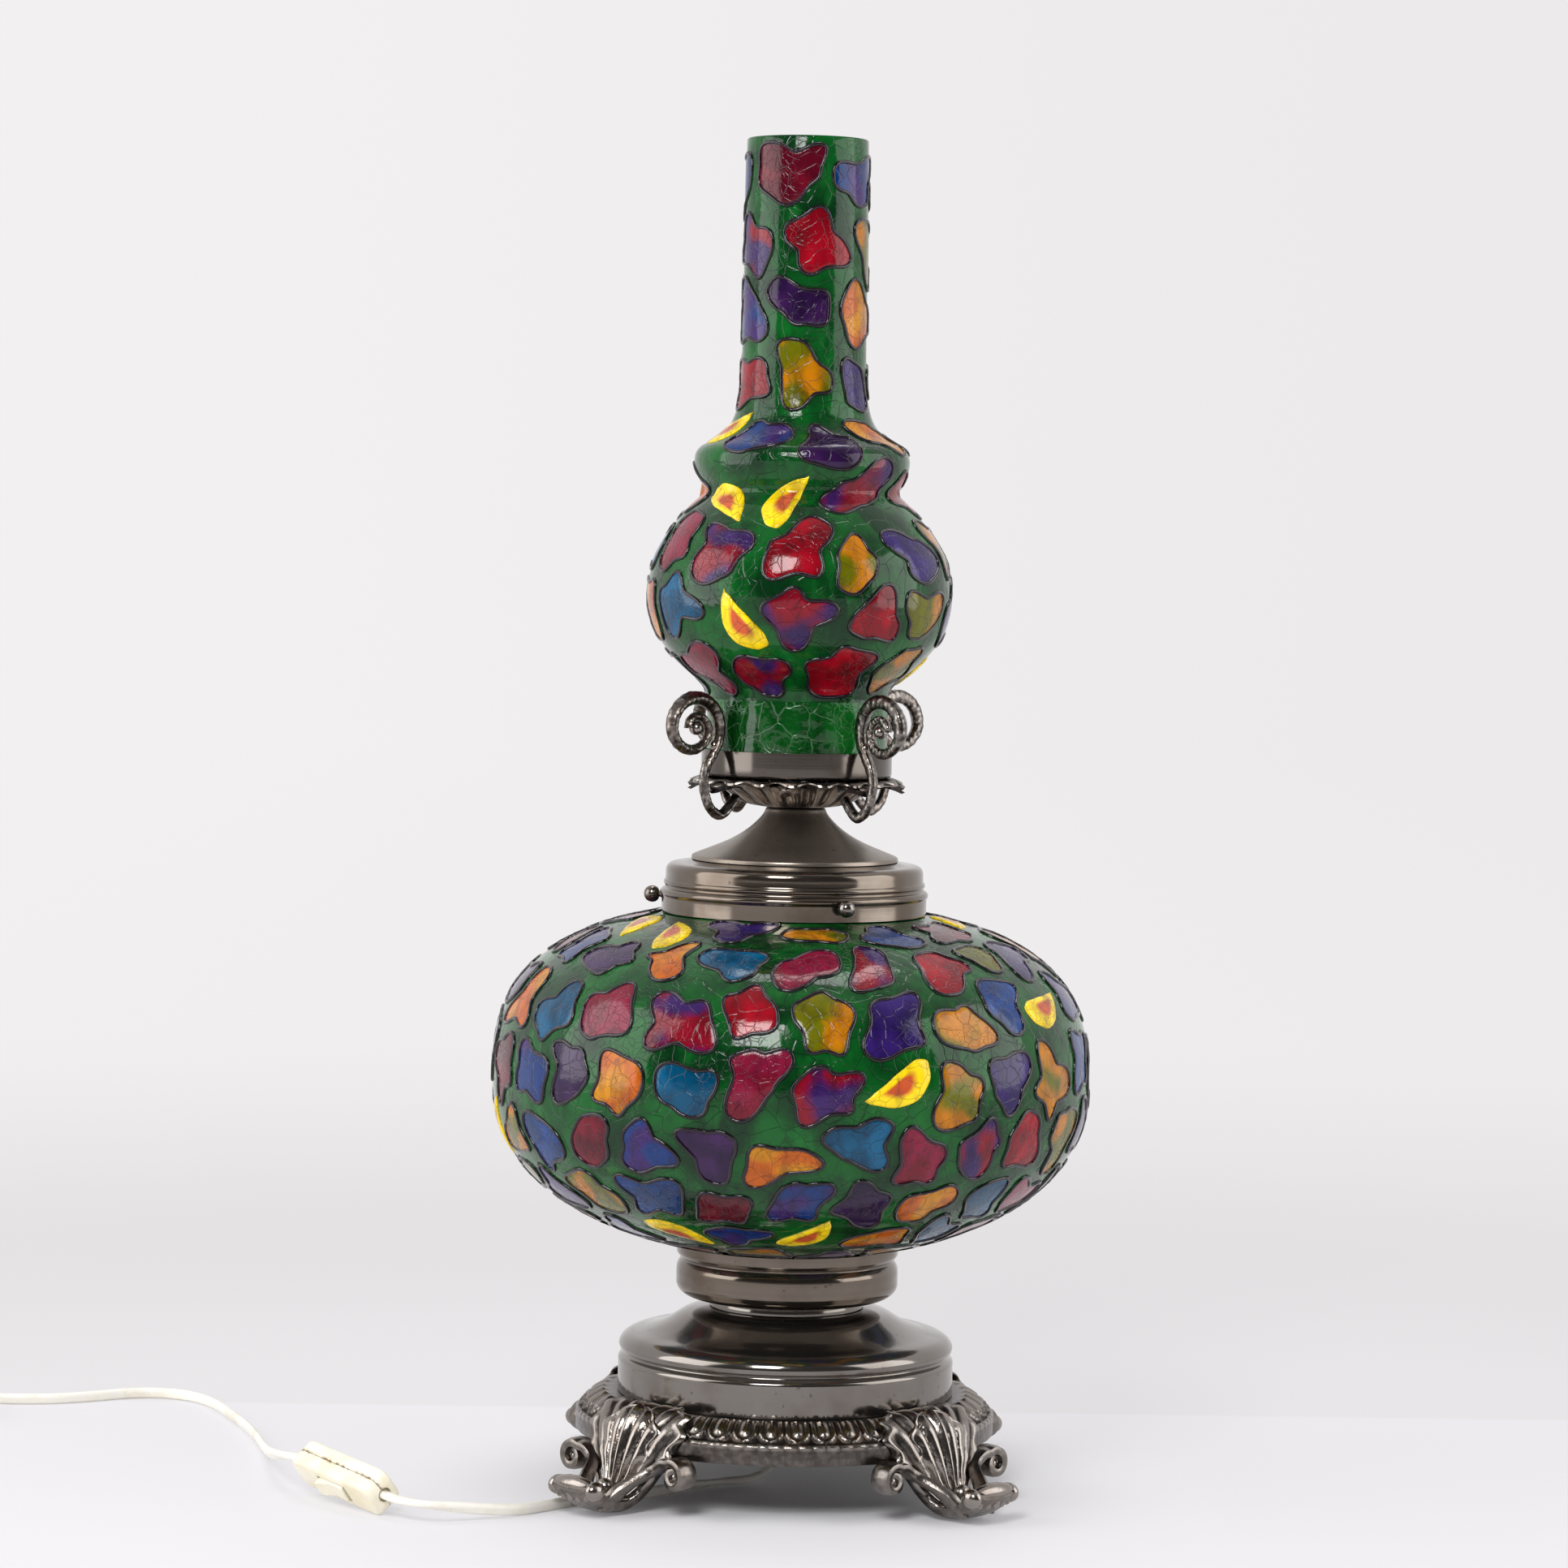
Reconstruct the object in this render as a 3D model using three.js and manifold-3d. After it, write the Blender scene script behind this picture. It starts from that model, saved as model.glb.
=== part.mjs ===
// Two-light table lamp in the shape of an oil lamp: cast scroll-foot base, spun metal drum,
// painted glass globe, cast gallery with four scroll arms, and a glass chimney.
// Millimetres, +Z up, the lamp's axis is Z, its feet stand on z = 0, the front is -Y.
import * as THREE from "three";
import { mergeVertices } from "three/addons/utils/BufferGeometryUtils.js";
import Module from "manifold-3d";

const wasm = await Module();
wasm.setup();

// Driving dimensions
const GAP = 0.3; // clearance between pieces that touch
const SHEET = 1.2; // spun sheet metal
const TUBE_RADIUS = 5; // M10 threaded tube
const TUBE_BORE = 3.6;
const TUBE_HOLE = TUBE_RADIUS + GAP; // hole in every piece that is threaded on the tube
const TUBE_BOTTOM = 32.5;
const TUBE_TOP = 366;
const PLATE_TOP = 45.6; // flat top of the casting, where the drum stands
const PLATE_THICKNESS = 3.6;
const SKIRT_RADIUS = 103.5;
const SKIRT_BOTTOM = 27;
const GADROONS = 48;
const FEET = 4;
const DRUM_RADIUS = 83;
const HUB_TOP = 88;
const CUP_RADIUS = 54.9;
const CUP_BOTTOM = 92.4;
const CUP_TOP = 119.2;
const GLOBE_RADIUS = 147.2;
const GLOBE_MIDDLE = 200.7; // height of the widest ring
const GLOBE_WALL = 2.6;
const GLOBE_NECK = 58.5;
const FITTER_RADIUS = 65.4;
const FITTER_BOTTOM = 283.7;
const FITTER_TOP = 309.4;
const SCREW_HEIGHT = 290.7;
const SCREW_BALL = 4.2;
const SCREW_AZIMUTHS = { front: -69.3, left: 170.7, back: 50.7 };
const CONE_RADIUS = 51;
const CONE_TOP = 335.4;
const GALLERY_RADIUS = 50.4;
const GALLERY_RIM = 348.7;
const GALLERY_CUP_RADIUS = 47;
const GALLERY_CUP_TOP = 364;
const ARM_AZIMUTHS = [-50.5, 39.5, 129.5, 219.5];
const CHIMNEY_BOTTOM = 352.8;
const CHIMNEY_TOP = 663.3;
const CHIMNEY_WALL = 2.6;
const BULB_RADIUS = 17.5;
const BULB_LENGTH = 74;
const CORD_WIDTH = 6; // flat twin cord
const CORD_THICKNESS = 4;
const CORD_LIES = 2.4; // height of the cord's middle where it lies on the table
const PLUG_THICKNESS = 14;

// Finishes
const finish = (color, roughness, metalness, opacity = 1) =>
  new THREE.MeshStandardMaterial({ color, roughness, metalness, opacity, transparent: opacity < 1 });
const blackNickel = finish(0x5a5552, 0.14, 1);
const castNickel = finish(0x4a4543, 0.3, 1);
const paintedGlass = finish(0x0c5a20, 0.08, 0, 0.9);
const clearGlass = finish(0xf2f2ec, 0.05, 0, 0.35);
const steel = finish(0xb8b8b4, 0.35, 1);
const brass = finish(0xc9a24a, 0.3, 1);
const bakelite = finish(0x16130f, 0.4, 0);
const creamPlastic = finish(0xf3efdc, 0.35, 0);
const whiteVinyl = finish(0xf2efe6, 0.45, 0);

// Solids from geometries, and back
function solidOf(geometry) {
  const plain = geometry.clone();
  plain.deleteAttribute("normal");
  plain.deleteAttribute("uv");
  const merged = mergeVertices(plain, 1e-4);
  return new wasm.Manifold(
    new wasm.Mesh({
      numProp: 3,
      vertProperties: merged.getAttribute("position").array,
      triVerts: new Uint32Array(merged.index.array),
    }),
  );
}

function geometryOf(solid) {
  const mesh = solid.getMesh();
  const geometry = new THREE.BufferGeometry();
  geometry.setAttribute("position", new THREE.BufferAttribute(mesh.vertProperties, 3));
  geometry.setIndex(new THREE.BufferAttribute(mesh.triVerts, 1));
  geometry.computeVertexNormals();
  return geometry;
}

const join = (...pieces) => geometryOf(pieces.map(solidOf).reduce((all, piece) => all.add(piece)));
const cut = (piece, ...tools) =>
  geometryOf(tools.map(solidOf).reduce((rest, tool) => rest.subtract(tool), solidOf(piece)));

// The casting's outer skin alone, so that no pocket stays shut in where its pieces run together
const filled = (geometry) =>
  geometryOf(
    solidOf(geometry)
      .decompose()
      .sort((a, b) => b.volume() - a.volume())[0],
  );

// A closed outline of [radius, height] pairs turned round the Z axis
function revolve(outline, segments) {
  const area = outline.reduce((sum, [r, z], i) => {
    const [nextR, nextZ] = outline[(i + 1) % outline.length];
    return sum + r * nextZ - nextR * z;
  }, 0);
  const points = (area > 0 ? outline : [...outline].reverse()).map(([r, z]) => new THREE.Vector2(r, z));
  if (points[0].x > 1e-6 || points[points.length - 1].x > 1e-6) points.push(points[0].clone());
  return new THREE.LatheGeometry(points, segments).rotateX(Math.PI / 2);
}

// The same outline moved sideways by a wall's thickness, to the left of its direction
function offset(line, distance) {
  return line.map(([r, z], i) => {
    const [r0, z0] = line[Math.max(i - 1, 0)];
    const [r1, z1] = line[Math.min(i + 1, line.length - 1)];
    const length = Math.hypot(r1 - r0, z1 - z0);
    return [r - ((z1 - z0) / length) * distance, z + ((r1 - r0) / length) * distance];
  });
}

// A spun or blown wall: the outer line and, back along it, the inner one, which may skip points
const walled = (outer, wall, skip = []) => {
  const inner = offset(outer, wall).filter((_, i) => !skip.includes(i));
  return [...outer, ...inner.reverse()];
};

// A smooth line through a few points
const smooth = (points, steps) =>
  new THREE.SplineCurve(points.map(([r, z]) => new THREE.Vector2(r, z)))
    .getPoints(steps)
    .map((p) => [p.x, p.y]);

const ring = (inner, outer, bottom, top, segments = 20) =>
  revolve([[inner, bottom], [outer, bottom], [outer, top], [inner, top]], segments);
const rod = (radius, bottom, top, segments = 16) =>
  revolve([[0, bottom], [radius, bottom], [radius, top], [0, top]], segments);
const ball = (radius, x, y, z, across = 10, down = 6) =>
  new THREE.SphereGeometry(radius, across, down).translate(x, y, z);
const inRadians = THREE.MathUtils.degToRad;
const turned = (geometry, degrees) => geometry.rotateZ(inRadians(degrees));

// A closed skin over rows of points. Each row is a closed loop; the first and last get flat ends,
// or meet each other where the rows go all the way round.
function loft(rows, round = false) {
  const count = rows[0].length;
  const position = rows.flat().flatMap((p) => [p.x, p.y, p.z]);
  const index = [];
  for (let row = 0; row + 1 < rows.length; row++) {
    for (let i = 0; i < count; i++) {
      const a = row * count + i;
      const b = row * count + ((i + 1) % count);
      index.push(a, b, a + count, b, b + count, a + count);
    }
  }
  const last = (rows.length - 1) * count;
  for (let i = 1; !round && i + 1 < count; i++) {
    index.push(0, i + 1, i, last, last + i, last + i + 1);
  }
  const geometry = new THREE.BufferGeometry();
  geometry.setAttribute("position", new THREE.Float32BufferAttribute(position, 3));
  geometry.setIndex(index);
  return facingOut(geometry);
}

// Turns a closed skin's faces round where they point inwards
function facingOut(geometry) {
  const at = geometry.getAttribute("position");
  const index = geometry.index.array;
  const corners = [new THREE.Vector3(), new THREE.Vector3(), new THREE.Vector3()];
  let volume = 0;
  for (let i = 0; i < index.length; i += 3) {
    corners.forEach((corner, k) => corner.fromBufferAttribute(at, index[i + k]));
    volume += corners[0].dot(corners[1].clone().cross(corners[2]));
  }
  if (volume < 0) geometry.index.array.reverse();
  return geometry;
}

// A round or oval rod along a curve
function rodAlong(points, width, thickness, steps, sides) {
  const section = new THREE.Shape(
    Array.from({ length: sides }, (_, i) => {
      const angle = (2 * Math.PI * (i + 0.5)) / sides;
      return new THREE.Vector2((thickness / 2) * Math.cos(angle), (width / 2) * Math.sin(angle));
    }),
  );
  const path = new THREE.CatmullRomCurve3(
    points.map(([x, y, z]) => new THREE.Vector3(x, y, z)),
    false,
    "centripetal",
  );
  return new THREE.ExtrudeGeometry(section, { extrudePath: path, steps, bevelEnabled: false });
}

const lamp = new THREE.Group();

function piece(name, geometry, material) {
  const mesh = new THREE.Mesh(geometry, material);
  mesh.name = name;
  lamp.add(mesh);
  return mesh;
}

// Cast base: a gadrooned ring with a flat top plate, on four acanthus scroll feet
function skirt() {
  const bottom = SKIRT_BOTTOM;
  const flute = 1.1;
  const section = [
    [70, PLATE_TOP - PLATE_THICKNESS, 0],
    [97.2, 35.6, 0],
    [SKIRT_RADIUS - 3.2, bottom, 0],
    [SKIRT_RADIUS, bottom, 0],
    [SKIRT_RADIUS, bottom + 7, 0],
    [101.6, bottom + 10, flute],
    [97, bottom + 15.2, flute],
    [89, bottom + 18.4, 0],
    [70, PLATE_TOP, 0],
  ];
  const steps = 2 * GADROONS;
  const rows = Array.from({ length: steps + 1 }, (_, step) => {
    const angle = (2 * Math.PI * (step % steps)) / steps;
    const wave = step % 2 ? 1 : -1;
    return section.map(([r, z, depth]) => {
      const radius = r + depth * wave;
      return new THREE.Vector3(radius * Math.cos(angle), radius * Math.sin(angle), z + depth * wave);
    });
  });
  return loft(rows, true);
}

// One foot along +X: an acanthus leaf with ribs that runs down the leg and flicks out at the toe
function foot() {
  const leg = [
    { out: 86.5, up: 47.6, half: 5, thick: 3 },
    { out: 96, up: 48.2, half: 22, thick: 6 },
    { out: 104.5, up: 40.5, half: 29, thick: 8 },
    { out: 108.6, up: 31, half: 28, thick: 8 },
    { out: 111.4, up: 19, half: 18, thick: 8 },
    { out: 120, up: 5.4, half: 10.2, thick: 7.6 },
    { out: 132, up: 8.2, half: 9, thick: 5 },
    { out: 142.5, up: 15.4, half: 13, thick: 6 },
  ];
  const ribs = 5;
  const backPoints = 3;
  const rows = leg.map(({ out, up, half, thick }, i) => {
    const before = leg[Math.max(i - 1, 0)];
    const after = leg[Math.min(i + 1, leg.length - 1)];
    const run = Math.hypot(after.out - before.out, after.up - before.up);
    const normal = [(before.up - after.up) / run, (after.out - before.out) / run];
    const relief = Math.min(1.8, half / 9);
    const at = (share, depth) => {
      const across = share * half;
      const wrapped = (across * across) / (2 * out) + Math.abs(share) ** 3 * thick * 0.25;
      return new THREE.Vector3(out - wrapped + normal[0] * depth, across, up + normal[1] * depth);
    };
    const front = Array.from({ length: 2 * ribs + 1 }, (_, k) =>
      at(-1 + k / ribs, k % 2 ? relief : 0),
    );
    const back = Array.from({ length: backPoints }, (_, k) =>
      at(0.92 - (1.84 * k) / (backPoints - 1), -thick),
    );
    return [...front, ...back];
  });
  const pieces = [loft(rows)];
  for (const side of [-1, 1]) {
    const hem = [
      [103.5, side * 34.5, 27.5],
      [106.5, side * 27, 27.5],
      [111, side * 16.5, 14],
      [118, side * 10, 5.2],
      [128, side * 8.5, 4.4],
    ];
    pieces.push(rodAlong(hem, 4.4, 4.4, 4, 5));
    const volute = new THREE.CylinderGeometry(6.3, 6.3, 7, 8).rotateZ(Math.PI / 2);
    pieces.push(volute.translate(101.5, side * 36.5, 21.5));
    pieces.push(ball(3.4, 105, side * 36.5, 21.5, 6, 4));
  }
  pieces.push(ball(4.6, 120.5, 0, 11.4, 7, 4));
  return join(...pieces);
}

function castBase() {
  const feet = Array.from({ length: FEET }, (_, i) => turned(foot(), 45 + (360 / FEET) * i));
  const plate = ring(TUBE_HOLE, 72, PLATE_TOP - PLATE_THICKNESS, PLATE_TOP, 24);
  const below = new THREE.BoxGeometry(400, 400, 20).translate(0, 0, -10);
  return filled(cut(join(skirt(), plate, ...feet), below));
}

piece("cast_base", castBase(), castNickel);

// Spun drum on the casting: a rolled groove in its side, and a flared hub on top
const drumLine = [
  [DRUM_RADIUS, PLATE_TOP + GAP],
  [DRUM_RADIUS, 62.8],
  [DRUM_RADIUS - 1.7, 65.2],
  [DRUM_RADIUS - 0.4, 67.6],
  [DRUM_RADIUS - 0.8, 71],
  [79, 74.2],
  [73, 75.8],
  [66, 77.4],
  [58, 81],
  [50, 85.6],
  [44, 87.4],
  [38, HUB_TOP],
  [TUBE_HOLE, HUB_TOP],
];
piece("base_cover", revolve(walled(drumLine, SHEET, [1, 5, 7, 9]), 26), blackNickel);

// Shallow spun ring between the drum's hub and the lower cup
const NECK_RADIUS = 38.2;
const neckLine = [
  [TUBE_HOLE, HUB_TOP + GAP],
  [NECK_RADIUS, HUB_TOP + GAP],
  [NECK_RADIUS, CUP_BOTTOM - GAP],
];
piece("neck_ring", revolve(walled(neckLine, SHEET), 24), blackNickel);

// Spun cup that the globe stands on, with one rolled groove
const cupLine = [
  [TUBE_HOLE, CUP_BOTTOM],
  [41, CUP_BOTTOM],
  [49, 93.6],
  [53.6, 96.2],
  [CUP_RADIUS, 99.6],
  [CUP_RADIUS, 108.2],
  [CUP_RADIUS - 2, 111.8],
  [CUP_RADIUS, 115],
  [CUP_RADIUS, CUP_TOP],
];
piece("lower_cup", revolve(walled(cupLine, SHEET), 24), blackNickel);

// Blown globe, flattened above and below, open at both ends
function globeLine() {
  const upper = { height: 86, power: 2.7, steps: 5, end: 64 };
  const lower = { height: 85, power: 2.2, steps: 5, end: 54.6 };
  const at = ({ height, power }, radius) => height * (1 - (radius / GLOBE_RADIUS) ** power) ** (1 / power);
  const curve = (half, sign) =>
    Array.from({ length: half.steps }, (_, i) => {
      const turn = ((i + 1) / half.steps) * Math.acos((half.end / GLOBE_RADIUS) ** (half.power / 2));
      const radius = GLOBE_RADIUS * Math.cos(turn) ** (2 / half.power);
      return [radius, GLOBE_MIDDLE + sign * at(half, radius)];
    });
  return [
    [48, 110],
    [48, 116.4],
    ...curve(lower, -1).reverse(),
    [GLOBE_RADIUS, GLOBE_MIDDLE],
    ...curve(upper, 1),
    [GLOBE_NECK, 287],
    [GLOBE_NECK, 303],
  ];
}
piece("globe_glass", revolve(walled(globeLine(), GLOBE_WALL, [3, 5, 9, 11]), 28), paintedGlass);

// Spun fitter over the globe's neck, with a bead and three screw holes
const fitterLine = [
  [FITTER_RADIUS, FITTER_BOTTOM],
  [FITTER_RADIUS, 291.2],
  [FITTER_RADIUS + 0.7, 293.6],
  [FITTER_RADIUS - 1.6, 296.6],
  [FITTER_RADIUS - 1.8, 305.2],
  [60.4, 307.8],
  [52, FITTER_TOP],
  [TUBE_HOLE, FITTER_TOP],
];
const screwAt = (geometry, azimuth) =>
  turned(geometry.rotateZ(-Math.PI / 2).translate(0, 0, SCREW_HEIGHT), azimuth);
const screwHoles = Object.values(SCREW_AZIMUTHS).map((azimuth) =>
  screwAt(new THREE.CylinderGeometry(2.3, 2.3, 12, 8).translate(0, 65, 0), azimuth),
);
piece("globe_fitter", cut(revolve(walled(fitterLine, SHEET), 26), ...screwHoles), blackNickel);

// Ball-headed thumb screws that centre the globe's neck in the fitter
for (const [place, azimuth] of Object.entries(SCREW_AZIMUTHS)) {
  const outline = [
    [0, GLOBE_NECK + 0.5],
    [2, GLOBE_NECK + 0.5],
    [2, 66.6],
    [1.5, 67.6],
    [2.6, 68.4],
    [SCREW_BALL, 71.2],
    [3.4, 74],
    [0, 75.4],
  ];
  const screw = revolve(outline, 8).rotateX(-Math.PI / 2);
  piece("thumb_screw_" + place, screwAt(screw, azimuth), blackNickel);
}

// Concave spun cone between the fitter and the gallery
const coneLine = [
  [CONE_RADIUS, FITTER_TOP + GAP],
  [CONE_RADIUS, 311.2],
  [44, 314.4],
  [33, 318.8],
  [23, 325],
  [17, 330.6],
  [15, 333.4],
  [14.6, CONE_TOP],
  [TUBE_HOLE, CONE_TOP],
];
piece("cone_cover", revolve(walled(coneLine, SHEET, [4]), 22), blackNickel);

// Cast gallery: an acanthus bowl with a leaf-edged rim, and four scroll arms on it
function galleryBowl() {
  const section = [
    [TUBE_HOLE, CONE_TOP + GAP, 0, 0],
    [17, CONE_TOP + GAP, 0, 0],
    [31, 339.4, 0.9, 0],
    [42, 343.6, 1, 0.5],
    [GALLERY_RADIUS, GALLERY_RIM, 0, 1.6],
    [GALLERY_RADIUS - 1.4, GALLERY_RIM + 1.8, 0, 0.8],
    [44, GALLERY_RIM + 1.2, 0, 0],
    [24, 341.6, 0, 0],
    [TUBE_HOLE, 340, 0, 0],
  ];
  const steps = 36;
  const rows = Array.from({ length: steps + 1 }, (_, step) => {
    const angle = (2 * Math.PI * (step % steps)) / steps;
    const wave = step % 2 ? 1 : -1;
    return section.map(([r, z, relief, scallop]) => {
      const radius = r + scallop * Math.cos(12 * angle);
      return new THREE.Vector3(radius * Math.cos(angle), radius * Math.sin(angle), z + relief * wave);
    });
  });
  return loft(rows, true);
}

// One scroll arm along +X: a hook under the rim, a stem beside the cup and a rolled spiral
function scrollArm() {
  const centre = { out: 63.6, up: 375.3 };
  const hook = [
    [37.5, 341.6],
    [42, 336.6],
    [47.5, 332.8],
    [53.6, 336],
    [57, 342.4],
    [58.2, 349.6],
    [56.6, 356.6],
    [53, 362.4],
    [49.8, 368.6],
  ];
  const turns = 1.6;
  const spiralSteps = 15;
  const spiral = Array.from({ length: spiralSteps + 1 }, (_, i) => {
    const turn = (turns * i) / spiralSteps;
    const radius = turn < 0.5 ? 14.7 : 3.2 + 11.5 * Math.exp(-2.1 * (turn - 0.5));
    const angle = Math.PI * (1 - 2 * turn);
    return [centre.out + radius * Math.cos(angle), centre.up + radius * Math.sin(angle)];
  });
  const path = [...hook, ...spiral].map(([out, up]) => [out, 0, up]);
  const leafTip = new THREE.SphereGeometry(1, 7, 4).scale(4.6, 6, 3.4).translate(49.6, 0, 348.4);
  return join(
    rodAlong(path, 5, 5, 28, 5),
    ball(2.7, centre.out, 0, centre.up - 0.6, 7, 5),
    ball(2.1, 52.8, 0, 367, 6, 4),
    leafTip,
  );
}

function galleryCasting() {
  const arms = ARM_AZIMUTHS.map((azimuth) => turned(scrollArm(), azimuth));
  const leaves = ARM_AZIMUTHS.map((azimuth) =>
    turned(new THREE.SphereGeometry(1, 7, 4).scale(6, 9, 2.6).translate(47.4, 0, 347.2), azimuth + 45),
  );
  const seat = rod(GALLERY_CUP_RADIUS + 0.6, GALLERY_RIM + 1.9, GALLERY_CUP_TOP, 26);
  return filled(cut(join(galleryBowl(), ...arms, ...leaves), seat));
}
piece("gallery_casting", galleryCasting(), castNickel);

// Smooth spun cup on the gallery that holds the chimney glass
const galleryCupLine = [
  [TUBE_HOLE, GALLERY_RIM + 2.2],
  [GALLERY_CUP_RADIUS - 1, GALLERY_RIM + 2.2],
  [GALLERY_CUP_RADIUS, GALLERY_RIM + 3.4],
  [GALLERY_CUP_RADIUS, GALLERY_CUP_TOP],
];
piece("gallery_cup", revolve(walled(galleryCupLine, SHEET), 26), blackNickel);

// Blown chimney: neck, bulb, bead and straight tube, open at both ends
const chimneyLine = [
  [44.6, CHIMNEY_BOTTOM],
  [44.6, 389.6],
  [46.4, 395.8],
  [55.6, 403.7],
  [66.6, 414.6],
  [72.6, 426.6],
  [74.6, 440.7],
  [72.3, 456.7],
  [66.2, 468.7],
  [55, 483.2],
  [48.4, 488.6],
  [47.4, 491.9],
  [51.3, 499.2],
  [53, 506.4],
  [50.4, 512],
  [42.2, 517],
  [35.2, 524],
  [31.2, 538],
  [30, CHIMNEY_TOP],
];
piece("chimney_glass", revolve(walled(chimneyLine, CHIMNEY_WALL, [3, 5, 7, 13, 15, 17]), 21), paintedGlass);

// Threaded tube through the whole stack, with a side hole for the lower lamp's lead
const LEAD_HEIGHT = 112;
const sideHole = new THREE.CylinderGeometry(1.8, 1.8, 8, 10).rotateZ(Math.PI / 2).translate(4, 0, LEAD_HEIGHT);
const tube = ring(TUBE_BORE, TUBE_RADIUS, TUBE_BOTTOM, TUBE_TOP, 12);
piece("central_tube", cut(tube, sideHole), steel);

// Hexagon nuts and washers that clamp the stack on the tube
const NUT = { radius: 9.8, height: 6 };
function hexNut(bottom) {
  const nut = new THREE.CylinderGeometry(NUT.radius, NUT.radius, NUT.height, 6).rotateX(Math.PI / 2);
  const hole = rod(TUBE_HOLE, bottom - 1, bottom + NUT.height + 1, 12);
  return cut(nut.translate(0, 0, bottom + NUT.height / 2), hole);
}
const WASHER = 1.5;
const washer = (bottom) => ring(TUBE_HOLE, 11, bottom, bottom + WASHER, 12);
const plateUnderside = PLATE_TOP - PLATE_THICKNESS;
const BRACKET = 1.5;
const bracketBottom = CUP_BOTTOM + SHEET + GAP;
const fitterUnderside = FITTER_TOP - SHEET;
const galleryCupFloor = GALLERY_RIM + 2.2 + SHEET;
piece("base_washer", washer(plateUnderside - GAP - WASHER), steel);
piece("base_nut", hexNut(plateUnderside - 2 * GAP - WASHER - NUT.height), steel);
piece("cup_nut", hexNut(bracketBottom + BRACKET + GAP), steel);
piece("fitter_washer", washer(fitterUnderside - GAP - WASHER), steel);
piece("fitter_nut", hexNut(fitterUnderside - 2 * GAP - WASHER - NUT.height), steel);
piece("gallery_washer", washer(galleryCupFloor + GAP), steel);
piece("gallery_nut", hexNut(galleryCupFloor + 2 * GAP + WASHER), steel);

// Bent strip on the tube that carries the lower lampholder beside it
const LOWER_LAMP = 36; // distance of the lower lamp's axis from the tube
const SHELF_HEIGHT = 128; // top of the strip under the lampholder
function holderBracket() {
  const width = 13;
  const outline = [
    [-9, bracketBottom],
    [27, bracketBottom],
    [27, SHELF_HEIGHT - BRACKET],
    [LOWER_LAMP + 8, SHELF_HEIGHT - BRACKET],
    [LOWER_LAMP + 8, SHELF_HEIGHT],
    [27 - BRACKET, SHELF_HEIGHT],
    [27 - BRACKET, bracketBottom + BRACKET],
    [-9, bracketBottom + BRACKET],
  ];
  const shape = new THREE.Shape(outline.map(([x, z]) => new THREE.Vector2(x, z)));
  const strip = new THREE.ExtrudeGeometry(shape, { depth: width, bevelEnabled: false });
  strip.rotateX(Math.PI / 2).translate(0, width / 2, 0);
  return cut(strip, rod(TUBE_HOLE, bracketBottom - 2, bracketBottom + 4, 12));
}
piece("lower_holder_bracket", holderBracket(), steel);

// A small-screw lampholder and its candle bulb, standing at a given height
const HOLDER_RADIUS = 14;
const HOLDER_HEIGHT = 42;
function lampAt(place, x, bottom) {
  const put = (geometry) => geometry.translate(x, 0, bottom);
  const cap = [
    [0, 0],
    [10, 0],
    [HOLDER_RADIUS, 4],
    [HOLDER_RADIUS, 13],
    [0, 13],
  ];
  piece(place + "_holder_cap", put(revolve(cap, 16)), bakelite);
  const sleeve = [
    [HOLDER_RADIUS, 13 + GAP],
    [HOLDER_RADIUS, HOLDER_HEIGHT - 3],
    [HOLDER_RADIUS - 1.5, HOLDER_HEIGHT],
    [HOLDER_RADIUS - 4.6, HOLDER_HEIGHT],
    [HOLDER_RADIUS - 4.6, 16],
    [0, 16],
    [0, 13 + GAP],
  ];
  piece(place + "_holder_body", put(revolve(sleeve, 14)), bakelite);
  piece(place + "_holder_contact", put(rod(3, 16 + GAP, 17.6, 10)), brass);
  const capTop = HOLDER_HEIGHT + 3;
  const bulbCap = [
    [0, 18],
    [3, 18],
    [6.8, 21],
    [6.8, capTop],
    [0, capTop],
  ];
  piece(place + "_bulb_cap", put(revolve(bulbCap, 14)), brass);
  const glassBottom = capTop + GAP;
  const candle = smooth(
    [
      [0, glassBottom],
      [8.4, glassBottom + 1.2],
      [12.4, glassBottom + 9],
      [BULB_RADIUS, glassBottom + 27],
      [14, glassBottom + 48],
      [6.6, glassBottom + 64],
      [0, glassBottom + BULB_LENGTH],
    ],
    9,
  );
  candle[0][0] = 0;
  candle[candle.length - 1][0] = 0;
  piece(place + "_bulb_glass", put(revolve(candle, 12)), clearGlass);
}
lampAt("lower", LOWER_LAMP, SHELF_HEIGHT + GAP);
lampAt("upper", 0, TUBE_TOP + GAP);

// Leads inside the lamp, and the tapered bushing under the tube that the cord leaves by
const BUSHING_BOTTOM = 25;
const bushing = [
  [0, BUSHING_BOTTOM],
  [4, BUSHING_BOTTOM],
  [6.4, TUBE_BOTTOM - 3],
  [6.4, TUBE_BOTTOM - GAP],
  [0, TUBE_BOTTOM - GAP],
];
piece("cord_bushing", revolve(bushing, 12), bakelite);
piece("main_lead", rod(2.4, TUBE_BOTTOM + GAP, TUBE_TOP - GAP, 8), whiteVinyl);
const branch = [
  [4.4, 0, LEAD_HEIGHT],
  [10, 0, LEAD_HEIGHT],
  [14.6, 0, LEAD_HEIGHT + 7],
  [15.6, 0, 128],
  [20.2, 0, 136.6],
];
piece("lower_lead", rodAlong(branch, 2.4, 2.4, 8, 6), whiteVinyl);

// In-line switch, lying on the lower edge of its front shell with its left end raised
const SWITCH = { x: -210.5, y: -80.5, yaw: -50, tilt: 5, lean: 38, length: 66, width: 19, depth: 15 };
const ROCKER = { length: 20, width: 9, swing: 7, pivot: -4.6 };
const switchBody = new THREE.Group();
switchBody.rotation.set(inRadians(SWITCH.lean), inRadians(SWITCH.tilt), inRadians(SWITCH.yaw), "ZYX");
lamp.add(switchBody);

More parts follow.
